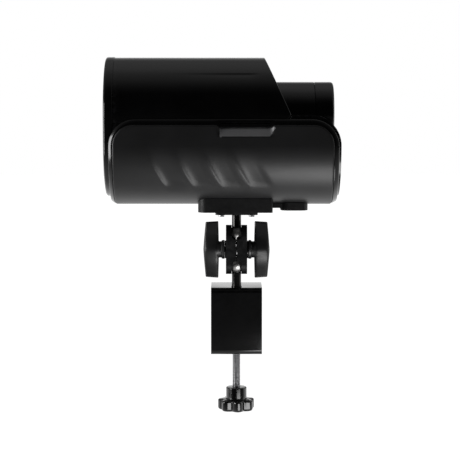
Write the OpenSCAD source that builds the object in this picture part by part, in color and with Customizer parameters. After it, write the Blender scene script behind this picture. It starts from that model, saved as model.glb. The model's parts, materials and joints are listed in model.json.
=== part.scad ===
// Motorised massager head on a double ball-joint arm and a screw desk clamp.
// Millimetres. +Z is up, +X runs along the stroke from the front opening to the tail.
// The origin is on the clamp screw's axis, on the plane of the desk top under the upper jaw.

/* [Desk clamp] */
// Width of the clamp frame
clamp_w = 51; // [44:1:64]
// Depth of the clamp frame, front to back
clamp_d = 50; // [46:1:64]
// Thickness of the frame's jaws and back
frame_t = 10; // [9:0.5:12]
// Distance from the frame's front face to the arm's axis
stem_setback = 9; // [8.5:0.5:14]
// Outer corner radius of the frame
frame_round = 5; // [2:0.5:8]
// Thickness of the rubber pad under the upper jaw
jaw_pad_t = 5; // [2:0.5:6]
// Open height between the two jaws
jaw_gap = 47.5; // [44:0.5:60]
// Desk thickness that the screw is set to
desk_t = 30; // [16:1:31]
// Radius of the clamp screw's thread
screw_r = 4; // [3:0.5:5]
// Length of screw that shows under the frame
screw_show = 38; // [32:1:50]
// Radius of the pressure foot
foot_r = 13; // [10:0.5:14]
// Radius of the star knob's body between its lobes
star_core_r = 16; // [14:0.5:20]
// Radius of the star knob over its lobes
star_r = 19.3; // [18:0.1:24]
// Number of lobes on the star knob
star_lobes = 7; // [5:1:8]
// Thickness of the star knob
star_t = 11; // [8:0.5:16]
// Radius of the star knob's hub
knob_hub_r = 10.5; // [8:0.5:12]
// Height of the star knob's hub
knob_hub_t = 12.5; // [8:0.5:14]

/* [Ball arm] */
// Radius of the two balls
ball_r = 8; // [7:0.25:9]
// Distance between the ball centres
ball_span = 31; // [30:0.5:40]
// Height of the lower ball's centre over the clamp
lower_neck = 22.5; // [22:0.5:30]
// Height of the adapter plate over the upper ball's centre
upper_neck = 20.5; // [20:0.5:28]
// Radius of the studs' necks
neck_r = 4.7; // [3.5:0.1:5]
// Half of the arm's width across its two shells
arm_half_w = 10.6; // [10.6:0.1:13]
// Half of the arm's depth, front to back
arm_half_d = 11; // [9.5:0.25:13]
// Material of a shell past a ball's centre
arm_end = 9.2; // [9:0.1:12]
// Gap between the two arm shells
arm_split = 1.2; // [0.6:0.1:2]
// Radius of the arm's through bolt
bolt_r = 3; // [2.5:0.25:3.5]
// Half of a wing knob's length
wing_half = 28.5; // [22:0.5:29]
// Reach of a wing knob beyond its hub
wing_reach = 15.8; // [12:0.2:20]
// Length of a wing knob's hub
wing_hub_t = 5.5; // [4:0.5:9]
// Radius of a wing knob's hub
wing_hub_r = 10; // [8:0.5:11]
// Thickness of a wing
wing_t = 9; // [6:0.5:10]

/* [Mount shoe] */
// Half length of the adapter plate
plate_half_x = 21; // [19:0.5:24]
// Half width of the adapter plate
plate_half_y = 16; // [14:0.5:18]
// Thickness of the adapter plate
plate_t = 3.5; // [3.5:0.25:6]
// Reach of the shoe in front of the arm
shoe_front = 38; // [34:1:50]
// Reach of the shoe behind the arm
shoe_back = 35.5; // [35:0.5:42]
// Half width of the shoe
shoe_half_w = 30; // [26:1:34]
// Thickness of the shoe under the lowest line of the grip
shoe_floor = 6.5; // [6:0.25:9]
// Length of the release lever's finger pad
lever_pad = 27; // [18:1:32]

/* [Head] */
// Distance from the arm's axis to the front face
front_reach = 129; // [120:1:145]
// Overall length of the head
head_len = 230; // [222:1:250]
// Radius of the drum
drum_r = 56; // [56:0.5:60]
// Distance the body's lower round lies under the drum's axis
drum_drop = 24.5; // [24.5:0.5:30]
// Wall thickness of the cover and the tub
wall = 2.5; // [2:0.25:3]
// Thickness of the front bezel
bezel_t = 9; // [7:0.5:12]
// Radius of the round opening in the bezel
entry_r = 44; // [43:0.25:48]
// Radius of the grip's lower round
grip_r = 61; // [59:0.5:64]
// Distance the grip's lower round lies under the drum's axis
grip_drop = 28; // [27:0.5:34]
// Lean of the cover's cut rear edge, in degrees from vertical
cover_lean = 24.4; // [10:0.2:30]
// Place of the cover's rear edge along its top line
cover_top_x = 28; // [10:1:34]
// Corner radius of the tail, seen from the side
tail_round = 30; // [20:1:34]

/* [Stroke drive] */
// Travel of the carriage
stroke = 80; // [60:1:82]
// Radius of the guide rods
rod_r = 3; // [2.5:0.25:4]
// Radius of the belt's centre line round a pulley
belt_pitch_r = 8.5; // [8:0.25:9]
// Width of the belt
belt_w = 6; // [5:0.5:7]
// Thickness of the belt
belt_t = 1.4; // [1:0.1:1.6]
// Radius of the motor
motor_r = 12.5; // [10:0.25:13]
// Length of the motor
motor_len = 44; // [36:1:46]

/* [Sleeve case] */
// Outer radius of the case's tube
tube_r = 32; // [28:0.5:32]
// Outer radius of the case's collar
collar_r = 41; // [36:0.5:41.5]
// Wall of the case
case_wall = 2.5; // [2:0.25:3.5]
// Overall length of the case with its cap
case_len = 217; // [200:1:218]
// Length of the screw cap at the rear of the case
cap_len = 19; // [14:0.5:26]
// Radius of the bore through the sleeve
sleeve_bore_r = 12; // [10:0.5:14]
// Radius of the air vent through the cap
vent_r = 4; // [2:0.5:8]

/* [Hidden] */
$fn = 96;

// Clearances
fit = 0.15;        // between fixed pieces that seat on each other
run = 0.05;        // radial, on a shaft or pin that turns
slip = 0.3;        // between pieces that slide past each other
over = 1;          // how far a cut runs past the face it opens

// Heights, from the desk plane up to the drum's axis
jaw_top_z = jaw_pad_t + frame_t;
lower_ball_z = jaw_top_z + lower_neck;
arm_z = lower_ball_z + ball_span / 2;
upper_ball_z = lower_ball_z + ball_span;
plate_z = upper_ball_z + upper_neck;
shoe_z = plate_z + plate_t;
grip_bottom_z = shoe_z + shoe_floor;
grip_axis_z = grip_bottom_z + grip_r;
axis_z = grip_axis_z + grip_drop;

// Clamp
lower_jaw_top_z = jaw_pad_t - jaw_gap;
frame_bottom_z = lower_jaw_top_z - frame_t;
frame_front_y = -(clamp_d + frame_t) / 2;
frame_back_y = frame_front_y + clamp_d;
web_inner_y = frame_front_y + frame_t;
stem_y = frame_front_y + stem_setback;
stud_thread_r = 4;
stud_thread_len = frame_t - 1;
foot_face_z = -desk_t;
foot_rubber_t = 2;
foot_t = 5.5;
foot_bottom_z = foot_face_z - foot_rubber_t - foot_t;
screw_tip_r = screw_r - 0.8;
screw_tip_depth = 3.5;
knob_top_z = frame_bottom_z - screw_show;
lobe_r = 5;

// Arm
arm_half_h = ball_span / 2 + arm_end;
socket_r = ball_r + fit;
slot_half = neck_r + 0.2;
washer_t = 1.2;
washer_r = 9;
spring_r = 5;
spring_wire_r = 0.6;
spring_pocket_r = spring_r + spring_wire_r + 0.4;
spring_pocket_depth = 4;
spring_half = arm_split / 2 + spring_pocket_depth - spring_wire_r - 0.1;
wing_base = arm_half_w + washer_t + 0.1;
wing_inner = wing_base + wing_hub_t;
wing_outer = wing_inner + wing_reach;
bolt_half = wing_inner + 9;
knob_bore_end = bolt_half + 0.5;

// Shoe, rail and lever
nut_t = 1.8;
nut_recess = nut_t + 0.2;
nut_recess_r = 7;
nut_across_r = 5.6;
spigot_r = 3;
plate_screw_x = 15;
plate_screw_y = 11;
plate_screw_r = 1.5;
plate_screw_bite = 3;
plate_head_r = 2.9;
plate_head_t = 2;
rail_front = -28;
rail_back = 20;
rail_web_half = 5;
rail_flange_half = 8;
rail_flange_t = 1.5;
rail_flange_z = shoe_z + 2.9;
lever_pivot_x = 28;
lever_half_w = 16;
lever_pin_r = 1.2;
lever_pin_half = 19;
lever_barrel_r = 1.9;
lever_pin_z = grip_bottom_z - 0.7 - lever_barrel_r;
lever_neck_z = lever_pin_z - 0.3;
catch_x = 57;
catch_len = 4;
catch_half = 6;
catch_rise = 1.6;
catch_room = 0.5;
lever_gap = 8;
lever_pad_half = 19;
lever_pad_round = 8;
shoe_front_round = 9;
shoe_back_round = 3;

// Head, measured along X and from the drum's axis
front_x = -front_reach;
tail_x = front_x + head_len;
core_x = front_x + bezel_t;
bezel_lip = 0.6;
split_h = -6;
tail_rise = 1.7;
cap_x = tail_x - 6.5;
cap_face_t = 2.5;
cover_foot_x = cover_top_x + (drum_r - tail_rise) * tan(cover_lean);
cover_heel_x = cover_foot_x - 4;
inner_r = drum_r - wall;
tub_floor_h = -drum_drop - inner_r;
grip_low_h = -grip_drop - grip_r;
panel_top_h = -7.8;
panel_front_x = core_x;
panel_back_x = tail_x - 7;
panel_round = 20;
trim_top_h = -2.6;
trim_front_x = core_x - 4;
trim_back_x = tail_x - 2;
trim_round = 26;
trim_inset = 1;
scoop_front_x = -15;
scoop_back_x = 32;
scoop_top_h = -10.7;
scoop_low_h = -19.2;
scoop_depth = 3.4;
scoop_flare = 5;
strap_low_h = -7.4;
strap_top_h = -6;
strap_round = 0.65;
strap_room = 1.6;
groove_pitch = 28;
groove_first_x = -73;
groove_h = -53;
groove_depth = 2.2;
groove_r = 12;
groove_lean = 22;
groove_count = 4;
big = 400;

// Stroke drive
bulkhead_t = 3.5;
bulkhead_x = core_x + 0.5;
ring_x = bulkhead_x + bulkhead_t + 2;
ring_len = 18;
ring_in_r = collar_r + fit;
ring_out_r = ring_in_r + 6.3;
rod_y = 42;
rod_h = -28;
bush_r = rod_r + 2.5;
ear_r = bush_r + 3;
rear_rib_x = ring_x + ring_len + stroke + 4;
rear_rib_t = 4;
belt_y = 28;
pulley_h = -53;
flange_r = belt_pitch_r + 1.5;
flange_t = 1;
idler_x = ring_x + flange_r;
grip_block_x = idler_x + flange_r + 1;
grip_block_len = 12;
drive_x = grip_block_x + grip_block_len + stroke + flange_r + 1;
shaft_r = 2.5;
axle_r = 2;
belt_top_h = pulley_h + belt_pitch_r;
clamp_jaw_t = 1.7;
lug_low_h = belt_top_h + belt_t / 2 + 0.2 + clamp_jaw_t;
motor_y1 = belt_y - belt_w / 2 - 4.8;
motor_y0 = motor_y1 - motor_len;
bearing_r = 5;
bearing_t = 3;
bearing_y = belt_y + belt_w / 2 + 2.6;
bracket_t = 1.8;
deck_r = tube_r + 5;
deck_t = 2.5;
deck_front_x = drive_x - motor_r - 1.5;
cell_r = 9.2;
cell_len = 65;
cell_x = cap_x - cell_len - 2.5;
cell_y = 10.4;
cell_h = -63;
board_t = 1.6;
board_h = -51;

// Case and sleeve
case_front_x = ring_x - 7.5;
case_back_x = case_front_x + case_len;
collar_len = 24;
cone_len = 16;
cap_front_x = case_back_x - cap_len;
sleeve_r = tube_r - case_wall - fit;
sleeve_flange_t = 5;
sleeve_back_x = cap_front_x - 4;
rib_pitch = 14;
rib_rise = 1.2;

// Controls on the tail cap
button_h = -50;
power_r = 6;
side_button_r = 4.5;
side_button_y = 19;
button_proud = 1.2;
button_flange = 1;
socket_h = -66;
jack_r = 2.75;
jack_body_r = 4;
jack_depth = 7;
tail_screw_y = 42;
tail_screw_h = -24;
tail_screw_r = 1.5;
light_h = -40.5;
light_half_y = 6;
light_half_h = 1;

// ---------- Shared shapes ----------

// Carries a flat shape drawn in (Y, Z) along X, from x0 to x1
module along_x(x0, x1) {
    translate([x0, 0, 0]) rotate([90, 0, 90]) linear_extrude(x1 - x0) children();
}

// Carries a flat shape drawn in (X, Z) along Y, half to each side
module along_y(half) {
    rotate([90, 0, 0]) translate([0, 0, -half]) linear_extrude(2 * half) children();
}

// A round bar along X
module bar_x(x0, x1, r) {
    translate([x0, 0, 0]) rotate([0, 90, 0]) cylinder(r = r, h = x1 - x0);
}

// A round bar along Y
module bar_y(y0, y1, r) {
    translate([0, y1, 0]) rotate([90, 0, 0]) cylinder(r = r, h = y1 - y0);
}

// A box given by its two corners
module block(a, b) {
    translate(a) cube(b - a);
}

// Two equal rounds, one under the other, joined by straight sides
module stadium(r, drop) {
    circle(r);
    translate([0, -drop]) circle(r);
    translate([-r, -drop]) square([2 * r, drop]);
}

// A flat rectangle with its four corners rounded
module round_rect(a, b, r) {
    translate([a[0] + r, a[1]]) square([b[0] - a[0] - 2 * r, b[1] - a[1]]);
    translate([a[0], a[1] + r]) square([b[0] - a[0], b[1] - a[1] - 2 * r]);
    for (x = [a[0] + r, b[0] - r], y = [a[1] + r, b[1] - r]) translate([x, y]) circle(r);
}

// What a rounded corner takes off a square one; its round's centre is at the origin
module corner_waste(r) {
    difference() {
        square(r + over);
        circle(r);
    }
}

// Side view in (X, h): a rectangle whose two upper corners are rounded
module side_panel(x0, x1, top, r0, r1) {
    low = -big / 2;
    difference() {
        translate([x0, low]) square([x1 - x0, top - low]);
        translate([x0 + r0, top - r0]) mirror([1, 0]) corner_waste(r0);
        translate([x1 - r1, top - r1]) corner_waste(r1);
    }
}

// Stands what is drawn about the arm's axis on the clamp
module on_stem() {
    translate([0, stem_y, 0]) children();
}

// Places what is drawn about the drum's axis
module on_axis() {
    translate([0, 0, axis_z]) children();
}

// The body's section in (Y, h), grown by g
module core(g = 0) {
    stadium(drum_r + g, drum_drop);
}

// The grip's section in (Y, h), grown by g, open upwards to the drum's axis
module grip_section(g = 0) {
    r = grip_r + g;
    translate([0, -grip_drop]) circle(r);
    translate([-r, -grip_drop]) square([2 * r, grip_drop]);
}

// The grip's underside as a round bar, for pieces that seat on it
module grip_round(x0, x1, g) {
    translate([0, 0, grip_axis_z]) bar_x(x0, x1, grip_r + g);
}

// ---------- Desk clamp ----------

module clamp_frame() {
    color([0.02, 0.02, 0.022]) difference() {
        along_x(-clamp_w / 2, clamp_w / 2) difference() {
            round_rect([frame_front_y, frame_bottom_z], [frame_back_y, jaw_top_z], frame_round);
            translate([web_inner_y, lower_jaw_top_z]) square([clamp_d, jaw_gap]);
        }
        translate([0, stem_y, jaw_top_z - stud_thread_len - 0.3])
            cylinder(r = stud_thread_r + run, h = frame_t);
        translate([0, 0, frame_bottom_z - over]) cylinder(r = screw_r + run, h = frame_t + 2 * over);
    }
}

module jaw_pad() {
    color([0.05, 0.05, 0.05])
        block([3 - clamp_w / 2, web_inner_y + 0.5, 0], [clamp_w / 2 - 3, frame_back_y - 3, jaw_pad_t]);
}

module pressure_foot() {
    color([0.05, 0.05, 0.05]) difference() {
        translate([0, 0, foot_bottom_z]) cylinder(r = foot_r, h = foot_t);
        translate([0, 0, foot_bottom_z - over])
            cylinder(r = screw_tip_r + run, h = screw_tip_depth + 0.2 + over);
    }
}

module foot_rubber() {
    color([0.07, 0.07, 0.07])
        translate([0, 0, foot_face_z - foot_rubber_t]) cylinder(r = foot_r - 0.5, h = foot_rubber_t);
}

module clamp_screw() {
    color([0.55, 0.55, 0.57]) {
        translate([0, 0, knob_top_z - knob_hub_t])
            cylinder(r = screw_r, h = foot_bottom_z - 0.2 - knob_top_z + knob_hub_t);
        translate([0, 0, foot_bottom_z - over])
            cylinder(r = screw_tip_r, h = screw_tip_depth + over);
    }
}

module star_knob() {
    color([0.02, 0.02, 0.02]) difference() {
        union() {
            translate([0, 0, knob_top_z - knob_hub_t]) cylinder(r = knob_hub_r, h = knob_hub_t);
            translate([0, 0, knob_top_z - knob_hub_t - star_t]) linear_extrude(star_t) {
                circle(star_core_r);
                for (i = [0 : star_lobes - 1])
                    rotate(-84 + i * 360 / star_lobes) translate([star_r - lobe_r, 0]) circle(lobe_r);
            }
        }
        translate([0, 0, knob_top_z - knob_hub_t]) cylinder(r = screw_r + 0.02, h = knob_hub_t + over);
    }
}

// ---------- Ball arm ----------

module lower_ball_stud() {
    color([0.45, 0.45, 0.47]) {
        translate([0, 0, lower_ball_z]) sphere(ball_r);
        translate([0, 0, jaw_top_z]) cylinder(r = neck_r, h = lower_neck);
        translate([0, 0, jaw_top_z - stud_thread_len])
            cylinder(r = stud_thread_r, h = stud_thread_len + over);
    }
}

module upper_ball_stud() {
    color([0.45, 0.45, 0.47]) {
        translate([0, 0, upper_ball_z]) sphere(ball_r);
        translate([0, 0, upper_ball_z]) cylinder(r = neck_r, h = upper_neck - 0.1);
        translate([0, 0, plate_z - over]) cylinder(r = spigot_r, h = plate_t + over - nut_t - 0.3);
    }
}

module stud_nut() {
    color([0.6, 0.6, 0.62]) translate([0, 0, shoe_z - nut_t - 0.1])
        cylinder(r = nut_across_r, h = nut_t, $fn = 6);
}

// One shell of the arm, on the +X side
module arm_shell() {
    color([0.03, 0.03, 0.03]) difference() {
        along_x(arm_split / 2, arm_half_w) translate([0, arm_z]) {
            for (s = [-1, 1]) translate([0, s * (arm_half_h - arm_half_d)]) circle(arm_half_d);
            translate([-arm_half_d, -arm_half_h + arm_half_d])
                square([2 * arm_half_d, 2 * (arm_half_h - arm_half_d)]);
        }
        for (s = [-1, 1]) translate([0, 0, arm_z + s * ball_span / 2]) {
            sphere(socket_r);
            rotate([90, 0, 0]) cylinder(r = slot_half, h = 3 * arm_half_d, center = true);
            translate([-slot_half, -2 * arm_half_d, s > 0 ? 0 : -2 * arm_end])
                cube([2 * slot_half, 4 * arm_half_d, 2 * arm_end]);
        }
        translate([0, 0, arm_z]) {
            bar_x(-over, arm_half_w + over, bolt_r + run);
            bar_x(-over, arm_split / 2 + spring_pocket_depth, spring_pocket_r);
        }
    }
}

module arm_shell_right() {
    arm_shell();
}

module arm_shell_left() {
    mirror([1, 0, 0]) arm_shell();
}

module arm_bolt() {
    color([0.5, 0.5, 0.52]) translate([0, 0, arm_z]) bar_x(-bolt_half, bolt_half, bolt_r);
}

module arm_washers() {
    color([0.4, 0.4, 0.42]) for (s = [0, 1]) mirror([s, 0, 0]) translate([0, 0, arm_z]) difference() {
        bar_x(arm_half_w, arm_half_w + washer_t, washer_r);
        bar_x(arm_half_w - over, arm_half_w + washer_t + over, bolt_r + run);
    }
}

// Points of a ring of the coil spring's wire, at turn angle a
function coil_ring(a, turns, sides) = [
    for (k = [0 : sides - 1])
        let (t = k * 360 / sides, r = spring_r + spring_wire_r * cos(t),
             x = (a / (360 * turns) * 2 - 1) * spring_half + spring_wire_r * sin(t))
        [x, r * cos(a), r * sin(a)]
];

module arm_spring() {
    turns = 4;
    steps = 14 * turns;
    sides = 6;
    points = [for (i = [0 : steps]) each coil_ring(i * 360 * turns / steps, turns, sides)];
    walls = [for (i = [0 : steps - 1], k = [0 : sides - 1])
        [i * sides + k, (i + 1) * sides + k, (i + 1) * sides + (k + 1) % sides, i * sides + (k + 1) % sides]];
    ends = [[for (k = [0 : sides - 1]) k], [for (k = [sides - 1 : -1 : 0]) steps * sides + k]];
    color([0.6, 0.6, 0.62]) translate([0, 0, arm_z]) polyhedron(points, concat(walls, ends));
}

// One wing knob, on the +X side
module wing_knob() {
    bow = 2.3;
    taper = 1;
    color([0.04, 0.04, 0.045]) translate([0, 0, arm_z]) difference() {
        union() {
            bar_x(wing_base, wing_inner + over, wing_hub_r);
            along_y(wing_t / 2) polygon([
                [wing_inner, -wing_half + taper], [wing_outer - bow, -wing_half],
                [wing_outer, 0], [wing_outer - bow, wing_half], [wing_inner, wing_half - taper]
            ]);
            bar_x(wing_inner, wing_outer - 2 * bow, wing_hub_r - 2);
        }
        bar_x(wing_base - over, knob_bore_end, bolt_r + run);
    }
}

module wing_knob_right() {
    wing_knob();
}

module wing_knob_left() {
    mirror([1, 0, 0]) wing_knob();
}

// ---------- Mount shoe ----------

module each_plate_screw() {
    for (x = [-plate_screw_x, plate_screw_x], y = [-plate_screw_y, plate_screw_y])
        translate([x, y, 0]) children();
}

module adapter_plate() {
    color([0.03, 0.03, 0.03]) difference() {
        translate([0, 0, plate_z]) linear_extrude(plate_t)
            round_rect([-plate_half_x, -plate_half_y], [plate_half_x, plate_half_y], 3);
        translate([0, 0, plate_z - over]) cylinder(r = spigot_r + run, h = plate_t + 2 * over);
        translate([0, 0, shoe_z - nut_recess]) cylinder(r = nut_recess_r, h = nut_recess + over);
        each_plate_screw() translate([0, 0, plate_z - over])
            cylinder(r = plate_screw_r + fit, h = plate_t + 2 * over);
    }
}

module plate_screws() {
    color([0.06, 0.06, 0.06]) each_plate_screw() {
        translate([0, 0, plate_z]) cylinder(r = plate_screw_r, h = plate_t + plate_screw_bite - 0.2);
        difference() {
            translate([0, 0, plate_z - plate_head_t]) cylinder(r = plate_head_r, h = plate_head_t);
            translate([0, 0, plate_z - plate_head_t - over])
                cylinder(r = 1.3, h = 1 + over, $fn = 6);
        }
    }
}

module accessory_rail() {
    color([0.03, 0.03, 0.03]) difference() {
        union() {
            block([rail_front, -rail_flange_half, rail_flange_z],
                  [rail_back, rail_flange_half, rail_flange_z + rail_flange_t]);
            block([rail_front, -rail_web_half, rail_flange_z + rail_flange_t - 0.1],
                  [rail_back, rail_web_half, grip_bottom_z + 2]);
        }
        grip_round(rail_front - over, rail_back + over, 0.05);
    }
}

module mount_shoe() {
    rail_room = 0.2;
    lever_room = 0.5;
    color([0.035, 0.035, 0.037]) difference() {
        translate([0, 0, shoe_z]) linear_extrude(18) difference() {
            translate([-shoe_front, -shoe_half_w]) square([shoe_front + shoe_back, 2 * shoe_half_w]);
            for (s = [0, 1]) mirror([0, s]) {
                translate([-shoe_front + shoe_front_round, shoe_half_w - shoe_front_round])
                    mirror([1, 0]) corner_waste(shoe_front_round);
                translate([shoe_back - shoe_back_round, shoe_half_w - shoe_back_round])
                    corner_waste(shoe_back_round);
            }
        }
        grip_round(-shoe_front - over, shoe_back + over, 0.25);
        block([-shoe_front - over, -rail_flange_half - rail_room, rail_flange_z - rail_room],
              [rail_back + rail_room, rail_flange_half + rail_room, rail_flange_z + rail_flange_t + rail_room]);
        block([-shoe_front - over, -rail_web_half - rail_room, rail_flange_z],
              [rail_back + rail_room, rail_web_half + rail_room, grip_bottom_z + over]);
        block([lever_pivot_x - 3, -lever_half_w - lever_room, lever_pin_z - lever_barrel_r - lever_room],
              [shoe_back + over, lever_half_w + lever_room, shoe_z + big]);
        translate([lever_pivot_x, 0, lever_pin_z])
            bar_y(-lever_pin_half - 0.3, lever_pin_half + 0.3, lever_pin_r + 0.02);
        each_plate_screw() translate([0, 0, shoe_z - over])
            cylinder(r = plate_screw_r + 0.05, h = plate_screw_bite + over);
    }
}

module release_lever() {
    pad_x = shoe_back + lever_gap;
    color([0.035, 0.035, 0.037]) difference() {
        union() {
            block([lever_pivot_x, -lever_half_w, lever_neck_z], [pad_x + 2, lever_half_w, shoe_z + 12]);
            translate([lever_pivot_x, 0, lever_pin_z]) bar_y(-lever_half_w, lever_half_w, lever_barrel_r);
            translate([0, 0, shoe_z + 1.2]) linear_extrude(15)
                round_rect([pad_x, -lever_pad_half], [pad_x + lever_pad, lever_pad_half], lever_pad_round);
        }
        difference() {
            grip_round(lever_pivot_x - 5, pad_x + lever_pad + over, 0.5);
            block([catch_x, -catch_half, shoe_z], [catch_x + catch_len, catch_half, grip_bottom_z + catch_rise]);
        }
        translate([lever_pivot_x, 0, lever_pin_z])
            bar_y(-lever_half_w - over, lever_half_w + over, lever_pin_r + run);
    }
}

module lever_pin() {
    color([0.6, 0.6, 0.62]) translate([lever_pivot_x, 0, lever_pin_z])
        bar_y(-lever_pin_half, lever_pin_half, lever_pin_r);
}

// ---------- Head shells ----------

module front_bezel() {
    spigot = 3;
    color([0.02, 0.02, 0.022]) on_axis() difference() {
        union() {
            along_x(front_x, core_x - fit) core(bezel_lip);
            along_x(front_x + 1, bulkhead_x - fit) core(-wall - fit);
        }
        bar_x(front_x - over, core_x + over, entry_r);
        along_x(front_x + spigot, core_x + over) intersection() {
            core(-wall - 3);
            translate([-big, -drum_drop - big - entry_r + 22]) square([2 * big, big]);
        }
    }
}

// Side view of the cover, in (X, h)
module cover_side() {
    polygon([
        [core_x, split_h + fit], [core_x, drum_r + over],
        [cover_top_x - over * tan(cover_lean), drum_r + over],
        [cover_foot_x, tail_rise], [cover_heel_x, split_h + fit]
    ]);
}

module drum_cover() {
    color([0.02, 0.02, 0.022]) on_axis() intersection() {
        along_x(core_x - over, cover_foot_x + over) difference() {
            core();
            core(-wall);
        }
        along_y(big / 2) cover_side();
    }
}

// Side view of the tub, in (X, h)
module tub_side() {
    difference() {
        side_panel(core_x, tail_x, tail_rise, 0.01, tail_round);
        translate([core_x - over, split_h]) square([cover_heel_x - core_x + over, big]);
        polygon([[cover_heel_x, split_h], [cover_foot_x + fit, tail_rise],
                 [cover_foot_x, big / 4], [cover_heel_x - over, big / 4], [cover_heel_x - over, split_h]]);
    }
}

module body_tub() {
    color([0.025, 0.025, 0.027]) on_axis() intersection() {
        along_x(core_x, cap_x - fit) difference() {
            core();
            core(-wall);
        }
        along_y(big / 2) tub_side();
    }
}

// Side view of the notch under a strap slot, in (X, h), grown by g
module notch_side(g) {
    polygon([
        [scoop_front_x - scoop_flare - g, panel_top_h + over], [scoop_front_x - g, scoop_top_h - g],
        [scoop_back_x + g, scoop_top_h - g], [scoop_back_x + scoop_flare + g, panel_top_h + over]
    ]);
}

// What the scoops under the strap slots take out of the grip: a slope that deepens upwards
module scoops() {
    for (s = [0, 1]) mirror([0, s, 0]) intersection() {
        along_x(scoop_front_x - scoop_flare, scoop_back_x + scoop_flare) polygon([
            [-grip_r - over, scoop_low_h], [-grip_r, scoop_low_h], [scoop_depth - grip_r, scoop_top_h],
            [scoop_depth - grip_r, panel_top_h + over], [-grip_r - over, panel_top_h + over]
        ]);
        translate([0, 0, scoop_low_h - over]) linear_extrude(big) polygon([
            [scoop_front_x - scoop_flare, -grip_r - over], [scoop_front_x, scoop_depth - grip_r],
            [scoop_back_x, scoop_depth - grip_r], [scoop_back_x + scoop_flare, -grip_r - over]
        ]);
    }
}

// Leaning finger grooves in both flanks of the grip
module grooves() {
    tilt = asin((groove_h + grip_drop) / grip_r);
    for (s = [0, 1], i = [0 : groove_count - 1]) mirror([0, s, 0])
        translate([groove_first_x + i * groove_pitch, 0, -grip_drop]) rotate([-tilt, 0, 0])
            translate([0, -grip_r - groove_r + groove_depth, 0]) rotate([0, -groove_lean, 0])
                cylinder(r = groove_r, h = 60, center = true);
}

module grip_shell() {
    color([0.12, 0.12, 0.125]) on_axis() difference() {
        intersection() {
            along_x(panel_front_x, panel_back_x) difference() {
                grip_section();
                core(bezel_lip + fit);
            }
            along_y(big / 2) side_panel(panel_front_x, panel_back_x, panel_top_h, panel_round, panel_round);
        }
        along_y(big / 2) notch_side(fit);
        block([catch_x - catch_room, -catch_half - catch_room, grip_low_h - over],
              [catch_x + catch_len + catch_room, catch_half + catch_room, grip_low_h + catch_rise + catch_room]);
        scoops();
        grooves();
    }
}

module trim_frame() {
    color([0.015, 0.015, 0.017]) on_axis() difference() {
        intersection() {
            along_x(trim_front_x, trim_back_x) difference() {
                grip_section(-trim_inset);
                core(bezel_lip + fit);
            }
            along_y(big / 2) side_panel(trim_front_x, trim_back_x, trim_top_h, trim_round, trim_round);
        }
        along_y(big / 2) difference() {
            side_panel(panel_front_x - fit, panel_back_x + fit, panel_top_h + fit, panel_round, panel_round);
            notch_side(0);
        }
        along_y(big / 2) round_rect([scoop_front_x, strap_low_h], [scoop_back_x, strap_top_h], strap_round);
        for (s = [0, 1]) mirror([0, s, 0])
            block([scoop_front_x, -drum_r - bezel_lip - strap_room, scoop_top_h - over],
                  [scoop_back_x, -drum_r + over, strap_top_h]);
    }
}

// Side view of everything that the tail's rounded corner cuts, in (X, h)
module tail_side() {
    side_panel(front_x, tail_x, tail_rise, 0.01, tail_round);
}

module tail_cap() {
    color([0.025, 0.025, 0.027]) on_axis() difference() {
        intersection() {
            along_x(cap_x, tail_x) core();
            along_y(big / 2) tail_side();
        }
        bar_x(cap_x - over, tail_x + over, deck_r);
        along_x(cap_x - over, tail_x - cap_face_t) difference() {
            core(-wall);
            circle(deck_r + deck_t);
            translate([-big, 1 - deck_r / 3]) square([2 * big, big]);
        }
        translate([0, 0, button_h]) {
            bar_x(cap_x, tail_x + over, power_r + slip / 2);
            for (y = [-side_button_y, side_button_y]) translate([0, y, 0])
                bar_x(cap_x, tail_x + over, side_button_r + slip / 2);
        }
        translate([0, 0, socket_h]) bar_x(cap_x, tail_x + over, jack_body_r + fit);
        translate([0, 0, light_h]) block([cap_x, -light_half_y - fit, -light_half_h - fit],
                                         [tail_x + over, light_half_y + fit, light_half_h + fit]);
        for (y = [-tail_screw_y, tail_screw_y]) translate([0, y, tail_screw_h]) {
            bar_x(cap_x - over, tail_x + over, tail_screw_r + fit);
            bar_x(tail_x - 1.6, tail_x + over, 2 * tail_screw_r + fit);
        }
    }
}

module rear_deck() {
    color([0.03, 0.03, 0.03]) on_axis() intersection() {
        along_x(deck_front_x, cap_x - fit) {
            difference() {
                union() {
                    circle(deck_r + deck_t);
                    translate([fit - inner_r, -deck_t]) square([2 * (inner_r - fit), deck_t + over]);
                }
                circle(deck_r);
                translate([-big, 0]) square([2 * big, big]);
            }
        }
        along_y(big / 2) tail_side();
    }
}

// ---------- Controls on the tail cap ----------

module button(y, r) {
    on_axis() translate([0, y, button_h]) {
        bar_x(tail_x - cap_face_t - 0.4, tail_x + button_proud, r);
        bar_x(tail_x - cap_face_t - 0.3 - button_flange, tail_x - cap_face_t - 0.3, r + 0.9);
    }
}

module power_button() {
    color([0.1, 0.1, 0.1]) button(0, power_r);
}

module plus_button() {
    color([0.1, 0.1, 0.1]) button(side_button_y, side_button_r);
}

module minus_button() {
    color([0.1, 0.1, 0.1]) button(-side_button_y, side_button_r);
}

module status_light() {
    color([0.8, 0.85, 0.9]) on_axis() translate([0, 0, light_h])
        block([tail_x - cap_face_t, -light_half_y, -light_half_h], [tail_x, light_half_y, light_half_h]);
}

module button_board() {
    color([0.05, 0.25, 0.1]) on_axis()
        block([cap_x - 1.6, -26, button_h - 8], [cap_x - 0.3, 26, button_h + 8]);
}

module charge_socket() {
    color([0.03, 0.03, 0.03]) on_axis() translate([0, 0, socket_h]) difference() {
        bar_x(tail_x - jack_depth - 1, tail_x, jack_body_r);
        bar_x(tail_x - jack_depth, tail_x + over, jack_r);
    }
}

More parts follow.
